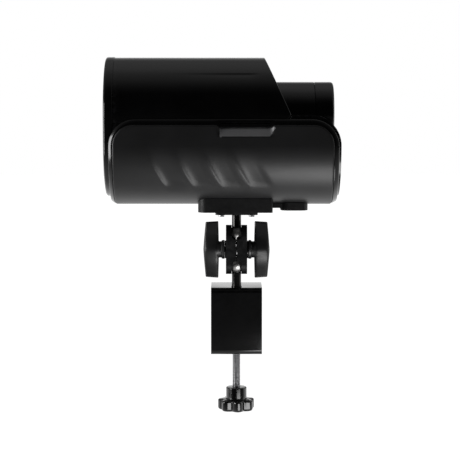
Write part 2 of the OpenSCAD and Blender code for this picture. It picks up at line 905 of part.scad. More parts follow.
module tail_screws() {
    color([0.3, 0.3, 0.32]) on_axis() for (y = [-tail_screw_y, tail_screw_y])
        translate([0, y, tail_screw_h]) {
            bar_x(cap_x - 3, tail_x - 0.6, tail_screw_r);
            bar_x(tail_x - 1.5, tail_x - 0.2, 2 * tail_screw_r);
        }
}

// ---------- Stroke drive ----------

module each_rod() {
    for (y = [-rod_y, rod_y]) translate([0, y, rod_h]) children();
}

module front_bulkhead() {
    color([0.2, 0.2, 0.2]) on_axis() difference() {
        along_x(bulkhead_x, bulkhead_x + bulkhead_t) core(-wall - fit);
        bar_x(bulkhead_x - over, bulkhead_x + bulkhead_t + over, entry_r);
        each_rod() bar_x(bulkhead_x + 1, bulkhead_x + bulkhead_t + over, rod_r + 0.02);
    }
}

module rear_bulkhead() {
    window_half = belt_y + belt_w / 2 + 3.5;
    color([0.2, 0.2, 0.2]) on_axis() difference() {
        along_x(rear_rib_x, rear_rib_x + rear_rib_t) intersection() {
            core(-wall - fit);
            translate([-big, -big - 16]) square([2 * big, big]);
        }
        along_x(rear_rib_x - over, rear_rib_x + rear_rib_t + over) intersection() {
            core(-wall - fit - 3.2);
            translate([-window_half, tub_floor_h + 11]) square([2 * window_half, big]);
        }
        each_rod() bar_x(rear_rib_x - over, rear_rib_x + rear_rib_t - 1, rod_r + 0.02);
    }
}

module guide_rods() {
    color([0.75, 0.75, 0.77]) on_axis() each_rod()
        bar_x(bulkhead_x + 1.1, rear_rib_x + rear_rib_t - 1.1, rod_r);
}

module carriage() {
    lug_half = belt_w / 2 + 3;
    color([0.1, 0.1, 0.1]) on_axis() difference() {
        union() {
            bar_x(ring_x, ring_x + ring_len, ring_out_r);
            for (s = [0, 1]) mirror([0, s, 0]) {
                translate([0, rod_y, rod_h]) bar_x(ring_x, ring_x + ring_len, ear_r);
                block([ring_x, rod_y - 10, rod_h - 4], [ring_x + ring_len, rod_y + 2, rod_h + ear_r]);
            }
            block([ring_x + 2, belt_y - lug_half, lug_low_h],
                  [grip_block_x + grip_block_len, belt_y + lug_half, lug_low_h + 5]);
            block([ring_x + 2, belt_y - lug_half, lug_low_h],
                  [ring_x + ring_len, belt_y + lug_half, -30]);
        }
        bar_x(ring_x - over, ring_x + ring_len + over, ring_in_r);
        each_rod() bar_x(ring_x - over, ring_x + ring_len + over, bush_r + 0.02);
    }
}

module carriage_bushes() {
    color([0.7, 0.55, 0.3]) on_axis() each_rod() difference() {
        bar_x(ring_x + 0.5, ring_x + ring_len - 0.5, bush_r);
        bar_x(ring_x - over, ring_x + ring_len + over, rod_r + run);
    }
}

module belt_clamp() {
    half = belt_w / 2 + 3;
    room = 0.2;
    color([0.3, 0.3, 0.3]) on_axis() difference() {
        block([grip_block_x, belt_y - half, belt_top_h - belt_t / 2 - room - clamp_jaw_t],
              [grip_block_x + grip_block_len, belt_y + half, lug_low_h - 0.1]);
        block([grip_block_x - over, belt_y - belt_w / 2 - room, belt_top_h - belt_t / 2 - room],
              [grip_block_x + grip_block_len + over, belt_y + belt_w / 2 + room,
               belt_top_h + belt_t / 2 + room]);
    }
}

// The belt's loop in (X, h), with its outer face at radius r round the pulleys
module belt_loop(r) {
    for (x = [idler_x, drive_x]) translate([x, pulley_h]) circle(r);
    translate([idler_x, pulley_h - r]) square([drive_x - idler_x, 2 * r]);
}

module drive_belt() {
    color([0.06, 0.06, 0.06]) on_axis() translate([0, belt_y, 0]) along_y(belt_w / 2) difference() {
        belt_loop(belt_pitch_r + belt_t / 2);
        belt_loop(belt_pitch_r - belt_t / 2);
    }
}

// A flanged pulley on a bore, its middle at the belt's own middle
module pulley(x, bore) {
    half = belt_w / 2 + 0.3;
    on_axis() translate([x, belt_y, pulley_h]) difference() {
        union() {
            bar_y(-half - flange_t, half + flange_t, belt_pitch_r - belt_t / 2 - 0.1);
            for (s = [-1, 1]) translate([0, s * (half + flange_t / 2), 0])
                bar_y(-flange_t / 2, flange_t / 2, flange_r);
        }
        bar_y(-half - flange_t - over, half + flange_t + over, bore);
    }
}

module drive_pulley() {
    color([0.7, 0.7, 0.72]) pulley(drive_x, shaft_r + 0.02);
}

module idler_pulley() {
    color([0.7, 0.7, 0.72]) pulley(idler_x, axle_r + run);
}

module drive_shaft() {
    color([0.7, 0.7, 0.72]) on_axis() translate([drive_x, 0, pulley_h])
        bar_y(motor_y1 + 0.2, bearing_y + bearing_t, shaft_r);
}

module idler_axle() {
    foot_h = tub_floor_h + 6;
    color([0.5, 0.5, 0.52]) on_axis() {
        translate([idler_x, 0, pulley_h]) bar_y(belt_y - 8, belt_y + 7.5, axle_r);
        for (y = [belt_y - 7.5, belt_y + 5]) translate([0, y, 0])
            block([bulkhead_x + bulkhead_t + 0.1, 0, pulley_h - 3], [idler_x + 3, 2.4, pulley_h + 3]);
    }
}

module shaft_bearing() {
    color([0.75, 0.75, 0.77]) on_axis() translate([drive_x, 0, pulley_h]) difference() {
        bar_y(bearing_y, bearing_y + bearing_t, bearing_r);
        bar_y(bearing_y - over, bearing_y + bearing_t + over, shaft_r + run);
    }
}

module motor() {
    color([0.55, 0.55, 0.57]) on_axis() translate([drive_x, 0, pulley_h]) difference() {
        union() {
            bar_y(motor_y0, motor_y1 - 2, motor_r);
            bar_y(motor_y0 - 2, motor_y0 + 1, motor_r / 2);
        }
        bar_y(motor_y1 - 6, motor_y1, shaft_r + 0.3);
    }
}

module motor_bracket() {
    base_h = pulley_h - flange_r - 0.4;
    half = bearing_r + 2;
    color([0.6, 0.6, 0.62]) on_axis() difference() {
        union() {
            block([drive_x - motor_r, motor_y1 - bracket_t, base_h - bracket_t],
                  [drive_x + motor_r, motor_y1, pulley_h + motor_r]);
            block([drive_x - half, motor_y1 - bracket_t, base_h - bracket_t],
                  [drive_x + half, bearing_y + bearing_t, base_h]);
            block([drive_x - half, bearing_y - 1, base_h - bracket_t],
                  [drive_x + half, bearing_y + bearing_t, pulley_h + half]);
        }
        translate([drive_x, 0, pulley_h]) {
            bar_y(motor_y1 - bracket_t - over, bearing_y + bearing_t + over, shaft_r + 0.8);
            bar_y(bearing_y, bearing_y + bearing_t + over, bearing_r + 0.02);
        }
        along_x(drive_x - half - over, drive_x + half + over) difference() {
            square([big, big], center = true);
            core(-wall - fit);
        }
    }
}

module battery_cells() {
    color([0.15, 0.3, 0.5]) on_axis() for (y = [-cell_y, cell_y])
        translate([0, y, cell_h]) bar_x(cell_x, cell_x + cell_len, cell_r);
}

module battery_tray() {
    color([0.15, 0.15, 0.15]) on_axis() difference() {
        along_x(cell_x - 1.5, cell_x + cell_len + 0.5) intersection() {
            core(-wall - fit);
            translate([-24, tub_floor_h]) square([48, cell_h - tub_floor_h]);
        }
        for (y = [-cell_y, cell_y]) translate([0, y, cell_h])
            bar_x(cell_x - 0.2, cell_x + cell_len + 5, cell_r + 0.1);
    }
}

module main_board() {
    color([0.05, 0.25, 0.1]) on_axis() {
        block([cell_x, -24, board_h], [cell_x + 60, 24, board_h + board_t]);
        block([cell_x + 6, -12, board_h + board_t - 0.1], [cell_x + 18, 0, board_h + board_t + 1.6]);
        block([cell_x + 28, 2, board_h + board_t - 0.1], [cell_x + 42, 16, board_h + board_t + 2.2]);
        for (i = [0 : 3]) translate([cell_x + 12 + i * 11, -18, board_h + board_t - 0.1])
            cylinder(r = 2.5, h = 5.5);
    }
}

// ---------- Case and sleeve ----------

module sleeve_case() {
    x0 = case_front_x;
    r_in = tube_r - case_wall;
    color([0.02, 0.02, 0.022]) on_axis() rotate([0, 90, 0]) rotate_extrude() polygon([
        [collar_r - case_wall, x0], [collar_r, x0], [collar_r, x0 + collar_len],
        [tube_r, x0 + collar_len + cone_len], [tube_r, cap_front_x], [r_in, cap_front_x],
        [r_in, x0 + collar_len + cone_len - 2], [collar_r - case_wall, x0 + collar_len - 2]
    ]);
}

module case_cap() {
    color([0.02, 0.02, 0.022]) on_axis() rotate([0, 90, 0]) rotate_extrude() polygon([
        [tube_r - case_wall - slip - 2, cap_front_x - 3], [tube_r - case_wall - slip, cap_front_x - 3],
        [tube_r - case_wall - slip, cap_front_x + 0.3], [tube_r, cap_front_x + 0.3],
        [tube_r, case_back_x - 1.5], [tube_r - 1.5, case_back_x], [vent_r, case_back_x],
        [vent_r, case_back_x - 3], [tube_r - case_wall - slip - 2, case_back_x - 3]
    ]);
}

// The soft sleeve: a plain tube with low rings along its bore and a flange that seats in the collar
module sleeve() {
    x0 = case_front_x;
    bore_len = sleeve_back_x - x0 - sleeve_flange_t;
    ribs = floor(bore_len / rib_pitch) - 1;
    flange_r_soft = collar_r - case_wall - fit;
    color([0.75, 0.75, 0.78]) on_axis() rotate([0, 90, 0]) rotate_extrude() polygon(concat(
        [[sleeve_bore_r, x0], [flange_r_soft, x0], [flange_r_soft, x0 + sleeve_flange_t],
         [sleeve_r - 2, x0 + collar_len], [sleeve_r, x0 + collar_len + cone_len],
         [sleeve_r, sleeve_back_x], [sleeve_bore_r, sleeve_back_x]],
        [for (i = [ribs : -1 : 1])
            let (x = x0 + sleeve_flange_t + i * rib_pitch)
            each [[sleeve_bore_r, x + 2], [sleeve_bore_r - rib_rise, x + 0.7],
                  [sleeve_bore_r - rib_rise, x - 0.7], [sleeve_bore_r, x - 2]]]
    ));
}

// ---------- Output, one node at a time ----------

clamp_frame();
jaw_pad();
pressure_foot();
foot_rubber();
clamp_screw();
star_knob();
on_stem() lower_ball_stud();
on_stem() arm_shell_left();
on_stem() arm_shell_right();
on_stem() arm_bolt();
on_stem() arm_spring();
on_stem() arm_washers();
on_stem() wing_knob_left();
on_stem() wing_knob_right();
on_stem() upper_ball_stud();
on_stem() stud_nut();
on_stem() adapter_plate();
on_stem() plate_screws();
on_stem() mount_shoe();
on_stem() accessory_rail();
on_stem() release_lever();
on_stem() lever_pin();
on_stem() front_bezel();
on_stem() drum_cover();
on_stem() body_tub();
on_stem() grip_shell();
on_stem() trim_frame();
on_stem() tail_cap();
on_stem() rear_deck();
on_stem() power_button();
on_stem() plus_button();
on_stem() minus_button();
on_stem() status_light();
on_stem() button_board();
on_stem() charge_socket();
on_stem() tail_screws();
on_stem() front_bulkhead();
on_stem() rear_bulkhead();
on_stem() guide_rods();
on_stem() carriage();
on_stem() carriage_bushes();
on_stem() belt_clamp();
on_stem() drive_belt();
on_stem() drive_pulley();
on_stem() drive_shaft();
on_stem() shaft_bearing();
on_stem() idler_pulley();
on_stem() idler_axle();
on_stem() motor();
on_stem() motor_bracket();
on_stem() battery_cells();
on_stem() battery_tray();
on_stem() main_board();
on_stem() sleeve_case();
on_stem() sleeve();
on_stem() case_cap();
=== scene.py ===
"""Looks of a motorised massager head on a double ball-joint arm and a screw desk clamp.

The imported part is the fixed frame. The shells, the tube, the knobs, the studs and the screw are drawn
here as surfaces of two parameters. The other pieces keep their own solids and get finishes and rounded
edges.
Sizes inside the classes are millimetres in the part's own frame; meshes are stored in metres.
"""

import json
import logging
import math
from collections.abc import Callable
from dataclasses import dataclass, field
from enum import Enum

import bmesh
import bpy
import numpy as np
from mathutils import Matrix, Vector


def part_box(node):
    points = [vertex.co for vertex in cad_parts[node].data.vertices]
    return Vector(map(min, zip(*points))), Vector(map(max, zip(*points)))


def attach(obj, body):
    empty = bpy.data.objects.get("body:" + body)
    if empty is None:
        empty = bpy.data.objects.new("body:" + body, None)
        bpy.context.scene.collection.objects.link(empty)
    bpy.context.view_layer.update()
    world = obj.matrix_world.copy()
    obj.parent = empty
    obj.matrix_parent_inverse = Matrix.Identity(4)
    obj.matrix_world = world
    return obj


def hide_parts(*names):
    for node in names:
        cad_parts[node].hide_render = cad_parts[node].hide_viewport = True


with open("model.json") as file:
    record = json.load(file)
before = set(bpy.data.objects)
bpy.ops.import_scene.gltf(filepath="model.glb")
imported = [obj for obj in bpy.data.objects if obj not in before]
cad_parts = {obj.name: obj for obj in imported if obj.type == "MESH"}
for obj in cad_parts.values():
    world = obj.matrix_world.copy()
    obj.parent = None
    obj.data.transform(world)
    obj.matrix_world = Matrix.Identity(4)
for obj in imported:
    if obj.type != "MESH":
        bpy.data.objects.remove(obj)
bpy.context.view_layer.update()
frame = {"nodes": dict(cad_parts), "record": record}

MM = 0.001
WELD = 1e-6
log = logging.getLogger("scene")

Array = np.ndarray
Socket = bpy.types.NodeSocket


# ---------- Meshes ----------


def grid_quads(rows: int, cols: int) -> Array:
    """Index quads of a grid, row by row.

    Args:
        rows: Number of point rows.
        cols: Number of points in a row.

    Returns:
        Array of shape (rows - 1, cols - 1, 4) of point numbers.
    """
    n = np.arange(rows * cols).reshape(rows, cols)
    return np.stack([n[:-1, :-1], n[:-1, 1:], n[1:, 1:], n[1:, :-1]], axis=-1)


def finish_mesh(name: str, points: Array, quads: Array, sharp_deg: float = 32.0) -> bpy.types.Object:
    """Turns points and quads into a welded, outward-facing object.

    Args:
        name: Name of the object.
        points: Points in millimetres, shape (n, 3).
        quads: Point numbers, shape (m, 4).
        sharp_deg: Angle above which an edge is shaded sharp.

    Returns:
        The object, at the origin, with its place in its mesh.
    """
    mesh = bpy.data.meshes.new(name)
    mesh.from_pydata((points * MM).tolist(), [], quads.tolist())
    work = bmesh.new()
    work.from_mesh(mesh)
    bmesh.ops.remove_doubles(work, verts=work.verts, dist=WELD)
    bmesh.ops.dissolve_degenerate(work, edges=work.edges, dist=WELD)
    bmesh.ops.recalc_face_normals(work, faces=work.faces)
    work.to_mesh(mesh)
    work.free()
    mesh.shade_smooth()
    mesh.set_sharp_from_angle(angle=math.radians(sharp_deg))
    obj = bpy.data.objects.new(name, mesh)
    bpy.context.scene.collection.objects.link(obj)
    return obj


def closed_sheet(name: str, grid: Array, sharp_deg: float = 32.0) -> bpy.types.Object:
    """Makes an object of one grid whose seams and poles meet, and are welded.

    Args:
        name: Name of the object.
        grid: Points in millimetres, shape (rows, cols, 3).
        sharp_deg: Angle above which an edge is shaded sharp.

    Returns:
        The object.
    """
    rows, cols, _ = grid.shape
    return finish_mesh(name, grid.reshape(-1, 3), grid_quads(rows, cols).reshape(-1, 4), sharp_deg)


def walled_sheet(
    name: str, outer: Array, inner: Array, keep: Array | None = None, ring: bool = False
) -> bpy.types.Object:
    """Makes a closed shell of two grids of the same shape, joined along every open edge.

    Args:
        name: Name of the object.
        outer: Outer face's points in millimetres, shape (rows, cols, 3).
        inner: Inner face's points, matching the outer ones.
        keep: Which cells are solid; a cell left out becomes a hole with walls.
        ring: Whether the last column is the first one again.

    Returns:
        The object.
    """
    rows, cols, _ = outer.shape
    cells = grid_quads(rows, cols)
    solid = np.ones(cells.shape[:2], bool) if keep is None else keep
    shift = rows * cols
    parts = [cells[solid], cells[solid][:, ::-1] + shift]
    padded = np.pad(solid, 1)
    if ring:
        padded[1:-1, 0], padded[1:-1, -1] = solid[:, -1], solid[:, 0]
    sides = {
        (0, 1): padded[:-2, 1:-1],
        (1, 2): padded[1:-1, 2:],
        (2, 3): padded[2:, 1:-1],
        (3, 0): padded[1:-1, :-2],
    }
    for (a, b), beside in sides.items():
        edge = cells[solid & ~beside]
        parts.append(np.stack([edge[:, b], edge[:, a], edge[:, a] + shift, edge[:, b] + shift], axis=-1))
    points = np.concatenate([outer.reshape(-1, 3), inner.reshape(-1, 3)])
    return finish_mesh(name, points, np.concatenate(parts))


def capped(rings: Array, first: Array | list[float], last: Array | list[float]) -> Array:
    """Closes a stack of rings with a point at each end.

    Args:
        rings: Points of the rings, shape (rings, cols, 3).
        first: Point before the first ring.
        last: Point after the last ring.

    Returns:
        The grid with two more rows.
    """
    cols = rings.shape[1]
    return np.concatenate([np.tile(first, (1, cols, 1)), rings, np.tile(last, (1, cols, 1))])


def rounded(obj: bpy.types.Object, width: float, segments: int = 3, angle: float = 40.0) -> bpy.types.Object:
    """Rounds an object's sharp edges.

    Args:
        obj: The object.
        width: Width of the rounding, in millimetres.
        segments: Number of steps across it.
        angle: Smallest edge angle that is rounded, in degrees.

    Returns:
        The same object.
    """
    bevel = obj.modifiers.new("edge_round", "BEVEL")
    bevel.width = width * MM
    bevel.segments = segments
    bevel.limit_method = "ANGLE"
    bevel.angle_limit = math.radians(angle)
    bevel.harden_normals = True
    bevel.use_clamp_overlap = True
    return obj


def smooth_step(t: Array) -> Array:
    """Rises from 0 to 1 over t = 0..1 with level ends."""
    t = np.clip(t, 0.0, 1.0)
    return t * t * (3.0 - 2.0 * t)


def spread(stops: list[float], counts: list[int]) -> Array:
    """Even steps between successive stops.

    Args:
        stops: Values to pass through.
        counts: Number of steps in each span.

    Returns:
        All values in order, each stop once.
    """
    spans = [np.linspace(a, b, n, endpoint=False) for a, b, n in zip(stops, stops[1:], counts)]
    return np.concatenate([*spans, [stops[-1]]])


def arc(cx: float, cy: float, r: float, a0: float, a1: float, n: int = 6) -> list[tuple[float, float]]:
    """Points of a circular arc in a flat profile, both ends included.

    Args:
        cx: Centre's first coordinate.
        cy: Centre's second coordinate.
        r: Radius.
        a0: Start angle in degrees.
        a1: End angle in degrees.
        n: Number of steps.

    Returns:
        The points.
    """
    t = np.radians(np.linspace(a0, a1, n + 1))
    return list(zip((cx + r * np.cos(t)).tolist(), (cy + r * np.sin(t)).tolist()))


def stadium(sigma: Array, r: float, drop: float) -> tuple[Array, Array, Array, Array]:
    """Walks round a stadium section: a round over an equal one, joined by straight sides.

    sigma is the length walked from the top. Up to a quarter turn it is on the upper round, then on
    the straight side, then on the lower round.

    Args:
        sigma: Lengths walked, in millimetres; the sign picks the side.
        r: Radius of the rounds.
        drop: Distance between their centres.

    Returns:
        Y, height over the upper centre, and the outward normal's two components.
    """
    side, s = np.sign(sigma), np.abs(sigma)
    quarter = math.pi * r / 2
    a = np.where(s < quarter, s / r, np.where(s < quarter + drop, math.pi / 2, (s - drop) / r))
    sink = np.clip(s - quarter, 0.0, drop)
    return side * r * np.sin(a), r * np.cos(a) - sink, side * np.sin(a), np.cos(a)


def turned(
    profile: list[tuple[float, float]], centre: tuple[float, float, float], axis: str, n: int
) -> Array:
    """Turns a flat profile round an axis: radius and place along the axis become a ring of points.

    Args:
        profile: Pairs of radius and place along the axis.
        centre: A point of the axis; its component along the axis is added to the places.
        axis: "X" or "Z".
        n: Number of points round.

    Returns:
        Grid of shape (profile points, n + 1, 3).
    """
    p = np.array(profile)
    a = np.linspace(0.0, 2 * math.pi, n + 1)
    u, v = p[:, :1] * np.cos(a), p[:, :1] * np.sin(a)
    w = np.repeat(p[:, 1:], n + 1, axis=1)
    grid = np.stack([w, u, v], axis=-1) if axis == "X" else np.stack([u, v, w], axis=-1)
    return grid + np.array(centre)


def solid_copy(node: str, width: float, segments: int = 3, angle: float = 30.0) -> bpy.types.Object:
    """Copies a part's solid, welds it and rounds its edges; the copy stands for the solid.

    Args:
        node: Name of the part's node.
        width: Width of the edge rounding in millimetres.
        segments: Steps across the rounding.
        angle: Smallest edge angle that is rounded, in degrees.

    Returns:
        The copy, named after the node with "_edged".
    """
    source = frame["nodes"][node]
    mesh = source.data.copy()
    work = bmesh.new()
    work.from_mesh(mesh)
    bmesh.ops.remove_doubles(work, verts=work.verts, dist=5 * WELD)
    bmesh.ops.dissolve_degenerate(work, edges=work.edges, dist=WELD)
    bmesh.ops.dissolve_limit(
        work, angle_limit=math.radians(0.5), verts=work.verts, edges=work.edges, delimit={"NORMAL"}
    )
    work.to_mesh(mesh)
    work.free()
    mesh.shade_smooth()
    mesh.set_sharp_from_angle(angle=math.radians(angle))
    obj = bpy.data.objects.new(node + "_edged", mesh)
    bpy.context.scene.collection.objects.link(obj)
    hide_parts(node)
    return rounded(obj, width, segments, angle)


# ---------- Layout ----------


@dataclass(frozen=True)
class Layout:
    """Leading sizes of the part, in millimetres, read from its solids."""

    stem_y: float
    axis_z: float
    drum_r: float
    drop: float
    front_x: float
    core_x: float
    cover_foot_x: float
    cap_x: float
    tail_x: float
    panel: tuple[float, float]
    trim: tuple[float, float]
    panel_top: float
    trim_top: float
    grip_r: float
    grip_drop: float

    @classmethod
    def read(cls) -> "Layout":
        """Reads the sizes from the solids' boxes."""
        stud, cover, tub, bezel, cap, grip, trim = (
            [(np.array(corner) / MM).tolist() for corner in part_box(node)]
            for node in (
                "lower_ball_stud", "drum_cover", "body_tub", "front_bezel", "tail_cap", "grip_shell",
                "trim_frame",
            )
        )
        drum_r = (cover[1][1] - cover[0][1]) / 2
        grip_r = (grip[1][1] - grip[0][1]) / 2
        axis_z = cover[1][2] - drum_r
        return cls(
            stem_y=(stud[0][1] + stud[1][1]) / 2,
            axis_z=axis_z,
            drum_r=drum_r,
            drop=axis_z - drum_r - tub[0][2],
            front_x=bezel[0][0],
            core_x=cover[0][0],
            cover_foot_x=cover[1][0],
            cap_x=cap[0][0],
            tail_x=cap[1][0],
            panel=(grip[0][0], grip[1][0]),
            trim=(trim[0][0], trim[1][0]),
            panel_top=grip[1][2] - axis_z,
            trim_top=trim[1][2] - axis_z,
            grip_r=grip_r,
            grip_drop=axis_z - grip_r - grip[0][2],
        )

    def core_point(self, x: Array, sigma: Array, lift: Array | float = 0.0) -> Array:
        """Places points on the body's section.

        Args:
            x: Places along the head.
            sigma: Lengths walked from the top of the drum.
            lift: Height over the body's surface.

        Returns:
            Points, shape (..., 3).
        """
        y, h, ny, nh = stadium(sigma, self.drum_r, self.drop)
        spots = np.broadcast_arrays(x, self.stem_y + y + lift * ny, self.axis_z + h + lift * nh)
        return np.stack(spots, axis=-1)

    def grip_point(self, x: Array, rise: Array, side: Array, lift: Array | float = 0.0) -> Array:
        """Places points on the grip's surface.

        rise is the length walked from the lowest line, up one flank: round the lower round first,
        then straight up.

        Args:
            x: Places along the head.
            rise: Lengths walked.
            side: -1 for the front flank, 1 for the back one.
            lift: Height over the grip's surface.

        Returns:
            Points, shape (..., 3).
        """
        quarter = math.pi * self.grip_r / 2
        a = np.minimum(rise, quarter) / self.grip_r
        up = np.maximum(rise - quarter, 0.0)
        y = side * (self.grip_r + lift) * np.sin(a)
        h = -self.grip_drop - (self.grip_r + lift) * np.cos(a) + up
        return np.stack(np.broadcast_arrays(x, self.stem_y + y, self.axis_z + h), axis=-1)

    def rise_at(self, h: Array | float) -> Array | float:
        """Length walked up a flank to height h over the drum's axis, above the lower round's centre."""
        return math.pi * self.grip_r / 2 + h + self.grip_drop


# ---------- Finishes ----------


class Graph:
    """Places and joins shader nodes in one node tree."""

    def __init__(self, tree: bpy.types.NodeTree) -> None:
        """Starts on a tree."""
        self.tree = tree

    def add(self, kind: str, values: dict | None = None, **settings: object) -> bpy.types.Node:
        """Adds a node.

        Args:
            kind: Node type without its "ShaderNode" start.
            values: Socket names or numbers with the number, colour or socket that feeds each.
            settings: Attributes of the node.

        Returns:
            The node.
        """
        node = self.tree.nodes.new("ShaderNode" + kind)
        for key, value in settings.items():
            setattr(node, key, value)
        self.feed(node, values or {})
        return node

    def feed(self, node: bpy.types.Node, values: dict) -> None:
        """Feeds a node's inputs, each from a socket, a number or a colour."""
        for key, value in values.items():
            if isinstance(value, bpy.types.NodeSocket):
                self.tree.links.new(value, node.inputs[key])
            else:
                node.inputs[key].default_value = value

    def spot(self) -> Socket:
        """The place of the shaded point in its object's own frame."""
        return self.add("TexCoord").outputs["Object"]

    def maths(self, operation: str, a: object, b: object = 0.0, clamp: bool = False) -> Socket:
        """Result socket of one sum, product or other operation on two numbers or sockets."""
        return self.add("Math", {0: a, 1: b}, operation=operation, use_clamp=clamp).outputs[0]

    def ramp(self, value: Socket, low: float, high: float, out_low: float, out_high: float) -> Socket:
        """Maps low..high smoothly to out_low..out_high."""
        node = self.add(
            "MapRange",
            {"Value": value, 1: low, 2: high, 3: out_low, 4: out_high},
            interpolation_type="SMOOTHSTEP",
        )
        return node.outputs[0]

    def times(self, a: object, b: object) -> Socket:
        """Product of two numbers or sockets."""
        return self.maths("MULTIPLY", a, b)

    def noise(
        self, vector: Socket, scale: float | Socket, detail: float = 2.0, rough: float = 0.5
    ) -> Socket:
        """Value socket of a noise texture."""
        values = {"Vector": vector, "Scale": scale, "Detail": detail, "Roughness": rough}
        return self.add("TexNoise", values).outputs[0]

    def curve(self, value: Socket, points: tuple[tuple[float, float], ...]) -> Socket:
        """Follows a broken line through pairs of input and output.

        Args:
            value: The input.
            points: Pairs in rising order of input.

        Returns:
            The output socket.
        """
        low, high = points[0][0], points[-1][0]
        share = self.add("MapRange", {"Value": value, 1: low, 2: high}).outputs[0]
        ramp = self.add("ValToRGB", {"Fac": share})
        stops = ramp.color_ramp.elements
        for i, (at, level) in enumerate(points):
            stop = stops[i] if i < 2 else stops.new(1.0)
            stop.position = (at - low) / (high - low)
            stop.color = (level, level, level, 1.0)
        return ramp.outputs["Color"]

    def unseen(self, level: Socket) -> Socket:
        """The level for all light but what the camera sees straight, which gets 1."""
        seen = self.add("LightPath").outputs["Is Camera Ray"]
        return self.add("Mix", {0: seen, 2: level, 3: 1.0}, data_type="FLOAT").outputs[0]

    def bump(self, height: Socket, strength: float, distance: float) -> Socket:
        """Normal socket of a texture whose full height is the distance, in millimetres."""
        values = {"Height": height, "Strength": strength, "Distance": distance * MM}
        return self.add("Bump", values).outputs["Normal"]

    def blend(self, mask: Socket, a: object, b: object) -> Socket:
        """Colour socket that goes from a to b as the mask rises."""
        node = self.add("Mix", {0: mask, 6: a, 7: b}, data_type="RGBA")
        return node.outputs[2]


def shader_group(
    name: str, inputs: dict[str, object], outputs: list[tuple[str, str]]
) -> tuple[Graph, bpy.types.Node, bpy.types.Node]:
    """Starts a node group with named sockets.

    Args:
        name: Name of the group.
        inputs: Input names with their default number or colour.
        outputs: Pairs of output name and kind, "Float" or "Color".

    Returns:
        The graph to draw in, and the group's input and output nodes.
    """
    tree = bpy.data.node_groups.new(name, "ShaderNodeTree")
    for key, value in inputs.items():
        kind = "NodeSocketColor" if isinstance(value, tuple) else "NodeSocketFloat"
        tree.interface.new_socket(key, in_out="INPUT", socket_type=kind).default_value = value
    for key, kind in outputs:
        tree.interface.new_socket(key, in_out="OUTPUT", socket_type="NodeSocket" + kind)
    graph = Graph(tree)
    return graph, tree.nodes.new("NodeGroupInput"), tree.nodes.new("NodeGroupOutput")


def build_grain_group() -> bpy.types.NodeTree:
    """Moulded grain: fine pits over slow unevenness, with handling smudges in the gloss.

    Colour goes from Dark to Light with a slow noise. Roughness is Gloss plus Smudge times a coarse,
    stretched noise. Height is the fine noise times Pit plus the slow noise times Wave.
    """
    g, given, out = shader_group(
        "moulded_grain",
        {
            "Dark": (0.01, 0.01, 0.01, 1.0), "Light": (0.02, 0.02, 0.02, 1.0), "Gloss": 0.3, "Smudge": 0.1,
            "Grain scale": 2500.0, "Pit": 0.5, "Wave": 0.1,
        },
        [("Colour", "Color"), ("Roughness", "Float"), ("Height", "Float")],
    )
    spot = g.spot()
    fine = g.noise(spot, given.outputs["Grain scale"], 3.0, 0.6)
    slow = g.noise(spot, 38.0, 3.0, 0.55)
    smear = g.add("Mapping", {"Vector": spot, "Scale": (14.0, 22.0, 55.0)}).outputs[0]
    smudge = g.ramp(g.noise(smear, 1.0, 4.0, 0.6), 0.35, 0.75, 0.0, 1.0)
    tone = g.maths("ADD", g.times(slow, 0.7), g.times(fine, 0.3))
    rough = g.maths("ADD", given.outputs["Gloss"], g.times(smudge, given.outputs["Smudge"]))
    speck = g.times(g.maths("SUBTRACT", fine, 0.5), given.outputs["Smudge"])
    pits, waves = g.times(fine, given.outputs["Pit"]), g.times(slow, given.outputs["Wave"])
    g.feed(out, {
        "Colour": g.blend(g.ramp(tone, 0.3, 0.7, 0.0, 1.0), given.outputs["Dark"], given.outputs["Light"]),
        "Roughness": g.maths("ADD", rough, speck, clamp=True),
        "Height": g.maths("ADD", pits, waves),
    })
    return g.tree


def build_wear_group() -> bpy.types.NodeTree:
    """Edge wear and settled dust.

    Wear is high where the surface bends outwards, broken up by noise. Dust is high on faces that look
    up, in patches.
    """
    g, given, out = shader_group(
        "edge_wear", {"Wear": 0.3, "Dust": 0.1}, [("Wear", "Float"), ("Dust", "Float")]
    )
    spot = g.spot()
    geometry = g.add("NewGeometry")
    patch = g.noise(spot, 260.0, 4.0, 0.65)
    bend = g.ramp(geometry.outputs["Pointiness"], 0.505, 0.56, 0.0, 1.0)
    wear = g.times(bend, g.ramp(patch, 0.38, 0.62, 0.0, 1.0))
    up = g.add("SeparateXYZ", {0: geometry.outputs["Normal"]}).outputs["Z"]
    lie = g.times(g.ramp(up, 0.3, 1.0, 0.0, 1.0), g.ramp(g.noise(spot, 420.0, 5.0, 0.7), 0.4, 0.8, 0.0, 1.0))
    for key, share in (("Wear", wear), ("Dust", lie)):
        g.feed(out, {key: g.maths("MULTIPLY", share, given.outputs[key], clamp=True)})
    return g.tree


def build_machined_group() -> bpy.types.NodeTree:
    """Tool lines left by turning or brushing: a noise drawn out across the line direction.

    Line is the noise itself, for the roughness. Height is the same noise times Depth.
    """
    g, given, out = shader_group(
        "machined_lines", {"Along": 60.0, "Across": 5200.0, "Depth": 0.4},
        [("Line", "Float"), ("Height", "Float")],
    )
    along, across = given.outputs["Along"], given.outputs["Across"]
    spot = g.spot()
    stretch = g.add("CombineXYZ", {0: along, 1: along, 2: across}).outputs[0]
    drawn = g.add("VectorMath", {0: spot, 1: stretch}, operation="MULTIPLY").outputs[0]
    line = g.noise(drawn, 1.0, 3.0, 0.6)
    g.feed(out, {"Line": line, "Height": g.times(line, given.outputs["Depth"])})
    return g.tree


Colour = tuple[float, float, float]
WHITE = (1.0, 1.0, 1.0, 1.0)
DUST_COLOUR = (0.23, 0.22, 0.21, 1.0)
SKIN_DEPTHS = (0.008, 0.006, 0.005)


def rgba(c: Colour) -> tuple[float, float, float, float]:
    """A colour with full opacity."""
    return (*c, 1.0)


